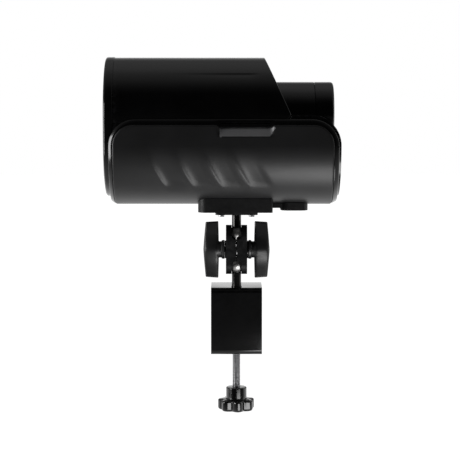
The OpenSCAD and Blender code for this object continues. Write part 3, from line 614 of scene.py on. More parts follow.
@dataclass(frozen=True)
class Moulded:
    """A moulded plastic, rubber or painted finish.

    dark and light bound its colour, gloss is its base roughness, smudge how far handling changes it.
    grain, pit and wave set the texture; bump is its height in millimetres. wear and dust are shares,
    worn the colour of a rubbed edge. clear is the strength of a lacquer, specular the reflection level
    and scatter the share of light that goes below the surface.
    """

    dark: Colour
    light: Colour
    gloss: float
    smudge: float = 0.1
    grain: float = 2600.0
    pit: float = 0.6
    wave: float = 0.1
    bump: float = 0.05
    wear: float = 0.25
    dust: float = 0.06
    worn: Colour = (0.06, 0.06, 0.062)
    clear: float = 0.0
    specular: float = 0.5
    scatter: float = 0.0

    def make(self, name: str, kit: "FinishKit") -> bpy.types.Material:
        """Builds the material.

        Args:
            name: Name of the material.
            kit: Holder of the shared groups.

        Returns:
            The material.
        """
        material, g, shader = kit.start(name)
        grain = g.add("Group", {
            "Dark": rgba(self.dark), "Light": rgba(self.light), "Gloss": self.gloss, "Smudge": self.smudge,
            "Grain scale": self.grain, "Pit": self.pit, "Wave": self.wave,
        }, node_tree=kit.grain).outputs
        wear = g.add("Group", {"Wear": self.wear, "Dust": self.dust}, node_tree=kit.wear).outputs
        rubbed = g.blend(wear["Wear"], grain["Colour"], rgba(self.worn))
        g.feed(shader, {
            "Base Color": g.blend(wear["Dust"], rubbed, DUST_COLOUR),
            "Roughness": g.maths("ADD", grain["Roughness"], g.times(wear["Dust"], 0.5), clamp=True),
            "Normal": g.bump(grain["Height"], 0.6, self.bump),
            "Specular IOR Level": self.specular,
            "Coat Weight": self.clear,
            "Coat Roughness": 0.06,
            "Subsurface Weight": self.scatter,
            "Subsurface Radius": SKIN_DEPTHS,
        })
        return material


@dataclass(frozen=True)
class Machined:
    """A turned, drawn or plated metal.

    dark and light bound its colour, gloss is its base roughness and streak how far tool lines change
    it. along and across are the lines' densities per metre, depth their height in millimetres, and
    tarnish how much a stain dulls it.
    """

    dark: Colour
    light: Colour
    gloss: float
    streak: float = 0.15
    along: float = 60.0
    across: float = 5200.0
    depth: float = 0.02
    tarnish: float = 0.2

    def make(self, name: str, kit: "FinishKit") -> bpy.types.Material:
        """Builds the material.

        Args:
            name: Name of the material.
            kit: Holder of the shared groups.

        Returns:
            The material.
        """
        material, g, shader = kit.start(name)
        lines = g.add(
            "Group", {"Along": self.along, "Across": self.across, "Depth": 1.0}, node_tree=kit.machined
        ).outputs
        stain = g.ramp(g.noise(g.spot(), 150.0, 4.0, 0.6), 0.4, 0.75, 0.0, self.tarnish)
        base = g.blend(lines["Line"], rgba(self.dark), rgba(self.light))
        dull = g.maths("ADD", stain, self.gloss)
        g.feed(shader, {
            "Base Color": g.blend(stain, base, rgba(tuple(0.45 * c for c in self.dark))),
            "Roughness": g.maths("ADD", g.times(lines["Line"], self.streak), dull, clamp=True),
            "Normal": g.bump(lines["Height"], 0.5, self.depth),
            "Metallic": 1.0,
        })
        return material


@dataclass(frozen=True)
class CircuitBoard:
    """Green board with copper lines under its lacquer and a scatter of pads."""

    dark: Colour = (0.006, 0.05, 0.018)
    light: Colour = (0.02, 0.12, 0.045)
    copper: Colour = (0.05, 0.22, 0.09)

    def make(self, name: str, kit: "FinishKit") -> bpy.types.Material:
        """Builds the material.

        Args:
            name: Name of the material.
            kit: Holder of the shared groups.

        Returns:
            The material.
        """
        material, g, shader = kit.start(name)
        spot = g.spot()
        cells = g.add("TexVoronoi", {"Vector": spot, "Scale": 420.0}, feature="F1", distance="CHEBYCHEV")
        near = g.maths("ABSOLUTE", g.maths("SUBTRACT", cells.outputs["Distance"], 0.32))
        line = g.ramp(near, 0.03, 0.06, 1.0, 0.0)
        base = g.blend(g.noise(spot, 90.0), rgba(self.dark), rgba(self.light))
        g.feed(shader, {
            "Base Color": g.blend(line, base, rgba(self.copper)),
            "Roughness": g.ramp(g.noise(spot, 200.0), 0.2, 0.8, 0.22, 0.42),
            "Normal": g.bump(line, 0.5, 0.04),
        })
        return material


class FinishKit:
    """Holds the shared groups and makes one material for each of the record's slots."""

    def __init__(self) -> None:
        """Builds the shared groups."""
        self.grain = build_grain_group()
        self.wear = build_wear_group()
        self.machined = build_machined_group()
        self.made: dict[str, bpy.types.Material] = {}

    def start(self, name: str) -> tuple[bpy.types.Material, Graph, bpy.types.Node]:
        """Starts a material.

        Args:
            name: Name of the material.

        Returns:
            The material, its graph and its surface shader.
        """
        material = bpy.data.materials.new(name)
        material.use_nodes = True
        return material, Graph(material.node_tree), material.node_tree.nodes["Principled BSDF"]

    def of(self, slot: str) -> bpy.types.Material:
        """The finish of a material slot, built the first time it is asked for."""
        if slot not in self.made:
            self.made[slot] = FINISHES[slot].make("finish_" + slot, self)
        return self.made[slot]

    def dress(self, obj: bpy.types.Object, slot: str) -> None:
        """Gives an object the finish of a slot."""
        obj.data.materials.clear()
        obj.data.materials.append(self.of(slot))

    def patch(self, obj: bpy.types.Object, finish: str, inside: Callable[[Vector], bool]) -> None:
        """Gives some faces of an object a second finish.

        Args:
            obj: The object, already dressed.
            finish: Name of the second finish.
            inside: Tells from a face's centre, in metres, whether it gets the second finish.
        """
        obj.data.materials.append(self.of(finish))
        for face in obj.data.polygons:
            if inside(face.center):
                face.material_index = 1


BLACK = (0.0008, 0.0008, 0.0009)
SOOT = (0.002, 0.002, 0.0022)
FINISHES = {
    "clamp_black": Moulded(
        BLACK, SOOT, 0.1, 0.02, 3200.0, 0.2, 0.03, 0.008, 0.1, 0.01, (0.03, 0.03, 0.03), 0.1
    ),
    "pad_rubber": Moulded(
        (0.008, 0.008, 0.008), (0.016, 0.016, 0.016), 0.62, 0.15, 1800.0, 0.8, 0.1, 0.08, 0.1, 0.1
    ),
    "screw_steel": Machined((0.36, 0.36, 0.37), (0.46, 0.46, 0.47), 0.3, 0.08, 60.0, 900.0, 0.004, 0.1),
    "knob_black": Moulded(BLACK, SOOT, 0.14, 0.1, 2400.0, 0.25, 0.12, 0.03, 0.2, 0.08, clear=0.4),
    "stud_metal": Machined((0.035, 0.034, 0.034), (0.05, 0.049, 0.048), 0.1, 0.04, 90.0, 3600.0, 0.001, 0.04),
    "stud_ball": Machined((0.5, 0.49, 0.48), (0.6, 0.59, 0.58), 0.3, 0.06, 90.0, 3600.0, 0.001, 0.04),
    "arm_black": Moulded(
        (0.0015, 0.0015, 0.0017), (0.004, 0.004, 0.0043), 0.36, 0.08, 3000.0, 0.5, 0.1, 0.02, 0.2, 0.02,
        (0.05, 0.05, 0.05), specular=0.2,
    ),
    "wing_black": Moulded(
        (0.004, 0.004, 0.0043), (0.009, 0.009, 0.0095), 0.36, 0.14, 2000.0, 0.6, 0.1, 0.03, 0.15, 0.03
    ),
    "spring_steel": Machined((0.4, 0.4, 0.41), (0.62, 0.62, 0.63), 0.25, 0.1),
    "shoe_black": Moulded(
        SOOT, (0.005, 0.005, 0.0054), 0.42, 0.12, 2600.0, 0.6, 0.1, 0.03, 0.1, 0.02, specular=0.3
    ),
    "body_gloss": Moulded(BLACK, SOOT, 0.17, 0.06, 3400.0, 0.2, 0.1, 0.02, 0.1, 0.02, clear=0.25),
    "grip_satin": Moulded(
        (0.005, 0.005, 0.0053), (0.008, 0.008, 0.0085), 0.4, 0.04, 2800.0, 0.4, 0.04, 0.02, 0.06, 0.01
    ),
    # Painted reflection: the scoops' light grey stands in for the bright floor they reflect. The real grip
    # there is the same dark satin.
    "grip_scoop_painted_reflection": Moulded(
        (0.15, 0.15, 0.154), (0.18, 0.18, 0.185), 0.36, 0.04, 2800.0, 0.4, 0.04, 0.02, 0.06, 0.01
    ),
    "inner_plastic": Moulded(
        (0.02, 0.02, 0.021), (0.035, 0.035, 0.036), 0.45, 0.1, 2200.0, 0.7, 0.1, 0.05, 0.15, 0.04
    ),
    "button_rubber": Moulded(
        (0.02, 0.02, 0.021), (0.034, 0.034, 0.035), 0.5, 0.12, 2400.0, 0.8, 0.1, 0.05, 0.2, 0.04
    ),
    "light_pipe": Moulded(
        (0.55, 0.6, 0.66), (0.7, 0.76, 0.82), 0.18, 0.06, 1800.0, 0.2, 0.2, 0.02, 0.0, 0.02, scatter=0.3
    ),
    "board_green": CircuitBoard(),
    "bronze": Machined((0.42, 0.27, 0.12), (0.62, 0.42, 0.2), 0.3, 0.15, 80.0, 2400.0),
    "belt_rubber": Moulded(
        (0.012, 0.012, 0.012), (0.022, 0.022, 0.022), 0.6, 0.15, 1500.0, 0.9, 0.1, 0.08, 0.1, 0.05
    ),
    "pulley_alloy": Machined((0.55, 0.55, 0.57), (0.72, 0.72, 0.74), 0.25, 0.14),
    "motor_steel": Machined((0.45, 0.45, 0.46), (0.62, 0.62, 0.63), 0.28, 0.14),
    "cell_wrap": Moulded(
        (0.02, 0.08, 0.2), (0.04, 0.13, 0.3), 0.28, 0.08, 1600.0, 0.3, 0.2, 0.03, 0.05, 0.03
    ),
    "sleeve_soft": Moulded(
        (0.42, 0.42, 0.44), (0.52, 0.52, 0.54), 0.38, 0.12, 1500.0, 0.5, 0.2, 0.06, 0.0, 0.02, scatter=0.5
    ),
}


# ---------- Head shells ----------


def place(obj: bpy.types.Object, body: str, slot: str, kit: FinishKit, *nodes: str) -> bpy.types.Object:
    """Puts a finished piece on its body, gives it its finish, and hides the solids it stands for.

    Args:
        obj: The piece.
        body: Body it moves with.
        slot: Material slot.
        kit: Finishes.
        nodes: Names of the solids it stands for.

    Returns:
        The piece.
    """
    kit.dress(obj, slot)
    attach(obj, body)
    if nodes:
        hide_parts(*nodes)
    log.info("%s: %d faces", obj.name, len(obj.data.polygons))
    return obj


def lip(depth: Array, r: float) -> Array:
    """How far a surface sinks near its rim: a quarter round of radius r, depth being the distance in."""
    inside = np.clip(r - depth, 0.0, r)
    return np.sqrt(r * r - inside * inside) - r


@dataclass
class HeadShells:
    """The drum cover, bezel, tub, grip shell and trim frame."""

    lay: Layout
    kit: FinishKit
    wall: float = 2.5
    seam: float = 0.15
    cover_lean: float = 24.4
    cover_round: float = 1.2
    heel: float = 4.0
    split_h: float = -6.0
    tail_rise: float = 1.7
    tail_round: float = 30.0
    tub_round: float = 0.8
    entry_r: float = 44.0
    bezel_lip: float = 0.6
    bezel_round: float = 2.4
    entry_round: float = 1.8
    line_span: tuple[float, float] = (-72.0, 20.0)
    line_sigma: float = 42.0
    line_half: float = 1.8
    line_depth: float = 0.4
    line_fade: float = 0.8
    line_end: float = 3.0
    panel_round: float = 20.0
    panel_rim: float = 1.6
    trim_round: float = 26.0
    trim_gap: float = 0.2
    trim_sunk: float = 0.9
    trim_fall: float = 2.2
    trim_bend: float = 1.35
    trim_rims: tuple[float, float] = (0.5, 0.7)
    notch_sunk: float = 0.9
    notch_reach: float = 4.5
    skin_back: float = -4.2
    scoop: tuple[float, float] = (-15.0, 32.0)
    scoop_flare: float = 5.0
    scoop_depth: float = 3.4
    scoop_low: float = -19.2
    notch_dip: float = 2.9
    slot_low: float = -7.4
    slot_top: float = -6.0
    groove_depth: float = 1.8
    groove_hollow: float = 8.0
    groove_count: int = 4
    groove_pitch: float = 27.3
    groove_first: float = -86.0
    groove_lean: float = 25.0
    groove_base: float = 88.0
    groove_rise: tuple[float, float] = (47.0, 96.0)
    groove_fade: tuple[float, float] = (12.0, 34.0)
    groove_width: float = 26.0
    groove_ease: float = 9.0

    def build(self) -> None:
        """Builds and places the five shells."""
        place(self.cover(), "head", "body_gloss", self.kit, "drum_cover")
        place(self.bezel(), "head", "body_gloss", self.kit, "front_bezel")
        place(self.tub(), "head", "body_gloss", self.kit, "body_tub")
        skin = place(self.grip(), "head", "grip_satin", self.kit, "grip_shell")
        # The scoop faces get a light grey, a painted reflection of the bright floor.
        self.kit.patch(skin, "grip_scoop_painted_reflection", self.in_scoop)
        place(self.trim(), "head", "body_gloss", self.kit, "trim_frame")

    def cover(self) -> bpy.types.Object:
        """Drum cover: the body's upper section carried back to a slanted plane, with a rounded rear lip."""
        lay = self.lay
        reach = math.pi * lay.drum_r / 2 - self.split_h - self.seam
        s = np.linspace(-reach, reach, 321)
        _, h, _, _ = stadium(s, lay.drum_r, lay.drop)
        slope = math.tan(math.radians(self.cover_lean))
        heel = (self.tail_rise - h) / (self.tail_rise - self.split_h) * self.heel
        end = lay.cover_foot_x - np.where(h > self.tail_rise, (h - self.tail_rise) * slope, heel)
        back = np.concatenate([np.linspace(1.0, 0.06, 40), np.array([0.04, 0.02])])
        near = self.cover_round * (1.0 - np.sin(np.radians(np.linspace(0, 90, 9))))
        dist = np.concatenate([back[:, None] * (end - lay.core_x), np.repeat(near[:, None], len(s), 1)])
        x = end - dist
        sink = lip(dist, self.cover_round) - self.pressed_line(x, s[None, :])
        outer = lay.core_point(x, s[None, :], sink)
        inner = lay.core_point(x, s[None, :], -self.wall)
        return walled_sheet("cover_shell", outer, inner)

    def pressed_line(self, x: Array, sigma: Array) -> Array:
        """Depth of the line pressed in each side of the cover: a crease that eases out downwards.

        Along the head it fades in from the front and ends short of the cut edge. Below the crease the
        depth is u times the exponential of 1 - u, u being the distance over the line's width.
        """
        near, far = self.line_span
        along = smooth_step((x - near) / (self.line_fade * (far - near)))
        along = along * smooth_step((far - x) / self.line_end)
        share = np.maximum(np.abs(sigma) - self.line_sigma, 0.0) / self.line_half
        return self.line_depth * along * share * np.exp(1.0 - share)

    def bezel(self) -> bpy.types.Object:
        """Front bezel: a ring that goes from the body's section outside to the round entry inside.

        Each profile point has a place along X, a share of the way from the section to the round, and
        an offset outward. Ring points match by their share of the way round.
        """
        lay = self.lay
        turn = np.linspace(-0.5, 0.5, 193)
        perimeter = 2 * (math.pi * lay.drum_r + lay.drop)
        y0, h0, ny, nh = stadium(turn * perimeter, lay.drum_r, lay.drop)
        y1, h1 = (self.entry_r * f(turn * 2 * math.pi) for f in (np.sin, np.cos))
        front, rear, grow = lay.front_x, lay.core_x - self.seam, self.bezel_lip
        small, outer, inner = 0.5, self.bezel_round, self.entry_round
        profile = [(rear, 0.0, -self.wall), (rear, 0.0, grow - small)]
        profile += [(x, 0.0, g) for x, g in arc(rear - small, grow - small, small, 0, 90, 3)]
        profile += [(x, 0.0, g) for x, g in arc(front + outer, grow - outer, outer, 90, 180, 7)]
        profile += [(front, w, 0.0) for w in (0.3, 0.6, 0.85)]
        profile += [(x, 1.0, g) for x, g in arc(front + inner, inner, inner, 180, 270, 6)]
        profile += [(rear, 1.0, 0.0), (rear, 0.5, 0.0), (rear, 0.0, -self.wall)]
        x, w, g = (np.array(column)[:, None] for column in zip(*profile))
        out_y, out_h = y0 + g * ny, h0 + g * nh
        in_y, in_h = y1 * (1 + g / self.entry_r), h1 * (1 + g / self.entry_r)
        y, h = out_y * (1 - w) + in_y * w, out_h * (1 - w) + in_h * w
        grid = np.stack([x + 0 * y, lay.stem_y + y, lay.axis_z + h], axis=-1)
        return closed_sheet("bezel_ring", grid)

    def tub(self) -> bpy.types.Object:
        """Body tub: the lower section, whose top edge follows the cover's split and the tail's round."""
        lay = self.lay
        heel_x, foot_x = lay.cover_foot_x - self.heel, lay.cover_foot_x + 0.2
        round_x = lay.tail_x - self.tail_round
        x = spread([lay.core_x, heel_x, foot_x, round_x, lay.cap_x - self.seam], [40, 8, 14, 30])
        top = np.interp(x, [heel_x, foot_x], [self.split_h, self.tail_rise])
        over = np.clip(x - round_x, 0, self.tail_round)
        top = top - self.tail_round + np.sqrt(self.tail_round**2 - over**2)
        v = np.linspace(-1, 1, 121)
        quarter = math.pi * lay.drum_r / 2
        reach = quarter + lay.drop + top
        sigma = np.sign(v) * (2 * quarter + lay.drop - np.abs(v) * reach[:, None])
        sigma = np.where(v == 0, 2 * quarter + lay.drop, sigma)
        depth = (1 - np.abs(v)) * reach[:, None]
        outer = lay.core_point(x[:, None], sigma, lip(depth, self.tub_round))
        inner = lay.core_point(x[:, None], sigma, -self.wall)
        return walled_sheet("tub_shell", outer, inner)

    def bump(self, x: Array) -> Array:
        """Share of the notch at x: 1 over the strap slot, falling to 0 over the flares."""
        a = (x - self.scoop[0] + self.scoop_flare) / self.scoop_flare
        b = (self.scoop[1] + self.scoop_flare - x) / self.scoop_flare
        return smooth_step(np.minimum(a, b))

    def grip(self) -> bpy.types.Object:
        """Grip shell: the flanks and underside, with leaning grooves and the scoops under the strap slots.

        The surface sinks from the grip's section by three depths together: a quarter round along the
        rim, the grooves, and a scoop that deepens upwards.
        """
        lay = self.lay
        x0, x1 = lay.panel
        r = self.panel_round
        end = r * (1 - np.cos(np.radians(np.linspace(0, 90, 15))))
        x = np.concatenate([x0 + end[:-1], np.linspace(x0 + r, x1 - r, 176), (x1 - end[:-1])[::-1]])
        near = np.clip(r - np.minimum(x - x0, x1 - x), 0, r)
        dip = self.notch_dip * self.bump(x)
        reach = lay.rise_at(lay.panel_top - r + np.sqrt(np.maximum(r * r - near * near, 0)) - dip)[:, None]
        v = spread([-1, -0.975, -0.45, 0.45, 0.975, 1], [8, 78, 18, 78, 8])
        rise, side = np.abs(v) * reach, np.where(v < 0, -1.0, 1.0)
        full = float(lay.rise_at(lay.panel_top))
        qx = np.abs(x - (x0 + x1) / 2)[:, None] - (x1 - x0) / 2 + r
        qy = rise - full + r
        corner = np.hypot(np.maximum(qx, 0), np.maximum(qy, 0)) + np.minimum(np.maximum(qx, qy), 0) - r
        sink = lip(np.minimum(-corner, reach - rise), self.panel_rim)
        sink = sink - self.groove_sink(x[:, None], rise) - self.scoop_sink(x[:, None], rise)
        outer = lay.grip_point(x[:, None], rise, side, sink)
        inner = lay.grip_point(x[:, None], rise, side, self.skin_back)
        return walled_sheet("grip_skin", outer, inner)

    def in_scoop(self, centre: Vector) -> bool:
        """Whether a face's centre, in metres, lies in a scoop: its flat or its slanted rear end. These faces
        get the painted reflection.
        """
        x, h = centre.x / MM, centre.z / MM - self.lay.axis_z
        up = (h - self.scoop_low) / (self.lay.panel_top - self.notch_dip - self.scoop_low)
        return 0.0 < up < 1.05 and self.scoop[0] - 1.0 < x < self.scoop[1] + self.scoop_flare * up

    def groove_sink(self, x: Array, rise: Array) -> Array:
        """Depth of the grooves: a crease along a leaning front edge, then a hollow that eases out.

        With u the distance behind the crease and a the hollow's length, the depth is u/a times the
        exponential of 1 - u/a, so it slopes in at once and comes out slowly.
        """
        low, high = self.groove_rise
        lean = math.tan(math.radians(self.groove_lean))
        ease_low, ease_high = self.groove_fade
        fade = smooth_step((high - rise) / ease_high) * smooth_step((rise - low) / ease_low)
        total = np.zeros(np.broadcast(x, rise).shape)
        for i in range(self.groove_count):
            u = x - (self.groove_first + i * self.groove_pitch + (self.groove_base - rise) * lean)
            share = np.maximum(u, 0.0) / self.groove_hollow
            total += share * np.exp(1.0 - share) * smooth_step((self.groove_width - u) / self.groove_ease)
        return self.groove_depth * fade * total

    def scoop_sink(self, x: Array, rise: Array) -> Array:
        """Depth of the scoops: none at their low edge, full at the notch's edge."""
        low = float(self.lay.rise_at(self.scoop_low))
        high = float(self.lay.rise_at(self.lay.panel_top - self.notch_dip))
        return self.scoop_depth * self.bump(x) * np.clip((rise - low) / (high - low), 0.0, 1.0)

    def loop(self, span: tuple[float, float], reach: float, r: float) -> tuple[Array, Array]:
        """Walks a rounded rectangle laid over the grip's unrolled surface.

        Args:
            span: Its ends along X.
            reach: Length up each flank from the lowest line.
            r: Corner radius.

        Returns:
            Places along X, and lengths up the flank, negative on the front one.
        """
        x0, x1 = span
        s0, s1 = self.scoop
        t = np.radians(np.linspace(0, 90, 15))[1:-1]
        stops = [x0 + r, s0 - self.scoop_flare, s0, s1, s1 + self.scoop_flare, x1 - r]
        along = spread(stops, [30, 6, 24, 6, 14])
        up = np.linspace(0, reach - r, 40)
        corner_a = (x0 + r - r * np.cos(t), reach - r + r * np.sin(t))
        corner_b = (x1 - r + r * np.sin(t), reach - r + r * np.cos(t))
        xs = np.concatenate([np.full(40, x0), corner_a[0], along, corner_b[0], np.full(40, x1)])
        rs = np.concatenate([up, corner_a[1], np.full(len(along), reach), corner_b[1], up[::-1]])
        return np.concatenate([xs, xs[::-1][1:]]), np.concatenate([-rs, rs[::-1][1:]])

    def trim(self) -> bpy.types.Object:
        """Trim frame: a band round the grip that slants down to the body, with a strap slot in each side.

        Two rounded rectangles on the unrolled flank bound the band. Points between them are a share
        of the way across; the share sets how far the surface sinks.
        """
        lay, gap = self.lay, self.trim_gap
        full = float(lay.rise_at(lay.panel_top)) + gap
        crest = float(lay.rise_at(lay.trim_top))
        ix, ir = self.loop((lay.panel[0] - gap, lay.panel[1] + gap), full, self.panel_round)
        ox, orise = self.loop(lay.trim, crest, self.trim_round)
        ir = np.where(np.abs(ir) > full - 1e-6, np.sign(ir) * (full - self.notch_dip * self.bump(ix)), ir)
        low = lay.panel_top - self.notch_dip + gap
        cuts = [(h - low) / (lay.trim_top - low) for h in (self.slot_low, self.slot_top)]
        w = np.array([0, 0.04, 0.1, 0.2, 0.3, *cuts, 0.7, 0.82, 0.91, 0.97, 1.0])[:, None]
        x, signed = ix * (1 - w) + ox * w, ir * (1 - w) + orise * w
        rise, side = np.abs(signed), np.where(signed < 0, -1.0, 1.0)
        rims = self.trim_rims[0] * np.clip((0.06 - w) / 0.06, 0, 1) ** 2
        rims = rims + self.trim_rims[1] * np.clip((w - 0.93) / 0.07, 0, 1) ** 2
        notch = self.notch_sunk * self.bump(x) * (rise > full - self.notch_reach) * (1 - w)
        sink = -self.trim_sunk - self.trim_fall * w**self.trim_bend - rims - notch
        outer = lay.grip_point(x, rise, side, sink)
        inner = lay.grip_point(x, rise, side, self.skin_back)
        mid = (ix[:-1] + ix[1:]) / 2
        on_top = (np.abs(orise[:-1]) > crest - 1e-6) & (mid > self.scoop[0]) & (mid < self.scoop[1])
        keep = np.ones((len(w) - 1, len(ix) - 1), bool)
        keep[5, on_top] = False
        return walled_sheet("trim_band", outer, inner, keep, ring=True)


@dataclass
class Tube:
    """The sleeve case that stands out behind the drum, its screw cap, and the soft sleeve inside."""

    lay: Layout
    kit: FinishKit
    tube_r: float = 32.0
    collar_r: float = 41.0
    wall: float = 2.5
    collar_len: float = 24.0
    cone_len: float = 16.0
    vent_r: float = 4.0
    bore_r: float = 12.0
    ring_pitch: float = 14.0
    ring_high: float = 1.1
    sides: int = 128

    def build(self) -> None:
        """Builds and places the three pieces."""
        case, cap, soft = (
            [corner.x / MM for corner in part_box(node)] for node in ("sleeve_case", "case_cap", "sleeve")
        )
        place(self.case(*case), "case", "body_gloss", self.kit, "sleeve_case")
        place(self.cap(case[1], cap[1]), "cap", "body_gloss", self.kit, "case_cap")
        place(self.sleeve(*soft), "case", "sleeve_soft", self.kit, "sleeve")

    def ring(self, name: str, profile: list[tuple[float, float]]) -> bpy.types.Object:
        """Turns a closed profile round the drum's axis."""
        grid = turned([*profile, profile[0]], (0.0, self.lay.stem_y, self.lay.axis_z), "X", self.sides)
        return closed_sheet(name, grid)

    def case(self, x0: float, x1: float) -> bpy.types.Object:
        """Sleeve case: collar, cone and tube, with rounded lips at both ends."""
        r, big, w = self.tube_r, self.collar_r, self.wall
        a, b = x0 + self.collar_len, x0 + self.collar_len + self.cone_len
        front = arc(big - w / 2, x0 + w / 2, w / 2, -180, 0, 8)
        knee = [(big, a - 3), (big - 0.3, a - 1), (big - 1.2, a + 1)]
        knee += [(r + 1.2, b - 1.5), (r + 0.3, b + 0.6), (r, b + 2.6)]
        rear = [(r, x1 - 0.5), (r - 0.15, x1 - 0.15), (r - 0.5, x1), (r - w + 0.3, x1), (r - w, x1 - 0.3)]
        inside = [(r - w, b - 2), (big - w, a - 2)]
        return self.ring("case_tube", [*front, *knee, *rear, *inside])

    def cap(self, x0: float, x1: float) -> bpy.types.Object:
        """Screw cap: rounded rear corner, a shallow dished face and an air vent in its middle."""
        r, vent_r = self.tube_r, self.vent_r
        seat = r - self.wall - 2.3
        side = [(seat, x0 - 3), (seat + 2, x0 - 3), (seat + 2, x0 + 0.3), (r - 0.5, x0 + 0.3), (r, x0 + 0.8)]
        corner = arc(r - 3, x1 - 3, 3, 0, 90, 8)
        face = [(r - 5, x1), (r - 6, x1 - 0.5), (vent_r + 2.5, x1 - 0.5), (vent_r + 1.6, x1)]
        face += [(vent_r + 0.4, x1)]
        vent = [(vent_r, x1 - 0.4), (vent_r, x1 - 3), (seat, x1 - 3)]
        return self.ring("case_end_cap", [*side, *corner, *face, *vent])

    def sleeve(self, x0: float, x1: float) -> bpy.types.Object:
        """Soft sleeve: a plain tube with a rounded flange, and low rings along its bore."""
        flange, body = self.collar_r - self.wall - 0.2, self.tube_r - self.wall - 0.2
        a, b = x0 + self.collar_len, x0 + self.collar_len + self.cone_len
        mouth = [(rr, x) for x, rr in arc(x0 + 5, self.bore_r + 5, 5, 270, 180, 8)]
        rim = [(rr, x) for x, rr in arc(x0 + 2, flange - 2, 2, 180, 90, 5)]
        back = [(flange, x0 + 5), (body - 2, a), (body, b), (body, x1 - 1), (body - 1, x1)]
        back += [(self.bore_r + 1, x1)]
        along = np.linspace(x1 - 2, x0 + 8, 90)
        turns = (along - x0 - 5) * 2 * math.pi / self.ring_pitch
        wave = self.ring_high * np.maximum(0.0, np.cos(turns)) ** 3
        bore = list(zip((self.bore_r - wave).tolist(), along.tolist()))
        return self.ring("soft_sleeve", [*mouth, *rim, *back, *bore])


# ---------- Clamp ----------


@dataclass
class Clamp:
    """The desk clamp with its screw and star knob."""

    lay: Layout
    kit: FinishKit
    screw_r: float = 4.0
    pitch: float = 1.5
    thread_depth: float = 0.55
    tip_len: float = 4.5
    tip_cut: float = 0.8
    lobes: int = 7
    lobe_turn: float = -84.0
    core_r: float = 16.2
    hub_r: float = 10.5
    star_thick: float = 11.0
    low_round: float = 2.6
    top_round: float = 2.0
    waist_round: float = 1.2
    hub_round: float = 1.0

    def build(self) -> None:
        """Builds and places the clamp's pieces."""
        for node, body, slot, width in (
            ("clamp_frame", "clamp", "clamp_black", 0.9),
            ("jaw_pad", "clamp", "pad_rubber", 0.6),
            ("pressure_foot", "foot", "clamp_black", 0.8),
            ("foot_rubber", "foot", "pad_rubber", 0.5),
        ):
            place(solid_copy(node, width), body, slot, self.kit)
        low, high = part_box("clamp_screw")
        place(self.screw(low.z / MM, high.z / MM), "screw", "screw_steel", self.kit, "clamp_screw")
        low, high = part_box("star_knob")
        knob = self.knob(low.z / MM, high.z / MM, (high.x - low.x) / 2 / MM)
        place(knob, "screw", "knob_black", self.kit, "star_knob")

    def screw(self, low: float, high: float) -> bpy.types.Object:
        """Clamp screw: the radius falls and rises once a pitch along a helix, up to a thinner bare tip."""
        steps = int((high - low) / self.pitch * 8)
        z = np.linspace(low, high, steps + 1)[:, None]
        a = np.linspace(0, 2 * math.pi, 41)[None, :]
        phase = z / self.pitch - a / (2 * math.pi)
        tri = np.abs(2 * (phase - np.floor(phase)) - 1)
        cut = self.thread_depth * np.clip(1.25 * tri - 0.1, 0.0, 1.0)
        r = self.screw_r - np.where(z > high - self.tip_len, self.tip_cut, cut)
        rings = np.stack([r * np.cos(a), r * np.sin(a), z + 0 * a], axis=-1)
        return closed_sheet("screw_thread", capped(rings, [0.0, 0.0, low], [0.0, 0.0, high]), 40.0)

    def knob(self, low: float, high: float, star_r: float) -> bpy.types.Object:
        """Star knob: a lobed disc with rounded rims, waisted up into a round hub.

        The radius at an angle is a blend of the hub's round and a lobed curve, whose lobes are a raised
        cosine drawn to a power below 1 so that they are broad and the valleys between them tight. Each
        row gives the lobed curve's share, a plain radius added to it, and a height.
        """
        top = low + self.star_thick
        a = np.linspace(0, 2 * math.pi, 169)[None, :]
        wave = 0.5 + 0.5 * np.cos(self.lobes * (a - math.radians(self.lobe_turn)))
        valley = self.core_r - 1.2
        lobed = valley + (star_r - valley) * wave**0.65
        b, c, waist, edge = self.low_round, self.top_round, self.waist_round, self.hub_round
        rows = [(0.0, 0.0, low + 1.6), (0.35, 0.0, low + 1.1), (0.6, 0.0, low + 0.5)]
        rows += [(1 - (b - o) / star_r, 0.0, z) for o, z in arc(0.0, low + b, b, -80, 0, 6)]
        rows += [(1 - (c - o) / star_r, 0.0, z) for o, z in arc(0.0, top - c, c, 0, 80, 6)]
        rows += [(0.78, 0.0, top + 0.15), (0.45, 6.0, top + 0.35)]
        flare = arc(self.hub_r + waist, top + waist + 0.5, waist, -90, -180, 4)
        brim = arc(self.hub_r - edge, high - edge, edge, 0, 90, 4)
        bore = [(self.screw_r + 0.1, high), (self.screw_r + 0.1, high - 1.0), (0.0, high - 1.0)]
        rows += [(0.0, r, z) for r, z in [*flare, *brim, *bore]]
        share, plain, z = (np.array(column)[:, None] for column in zip(*rows))
        r = share * lobed + plain
        grid = np.stack([r * np.cos(a), r * np.sin(a), z + 0 * a], axis=-1)
        return closed_sheet("star_grip", grid, 50.0)


# ---------- Arm ----------


class Side(Enum):
    """Which side of the arm a piece is on."""

    LEFT = -1
    RIGHT = 1


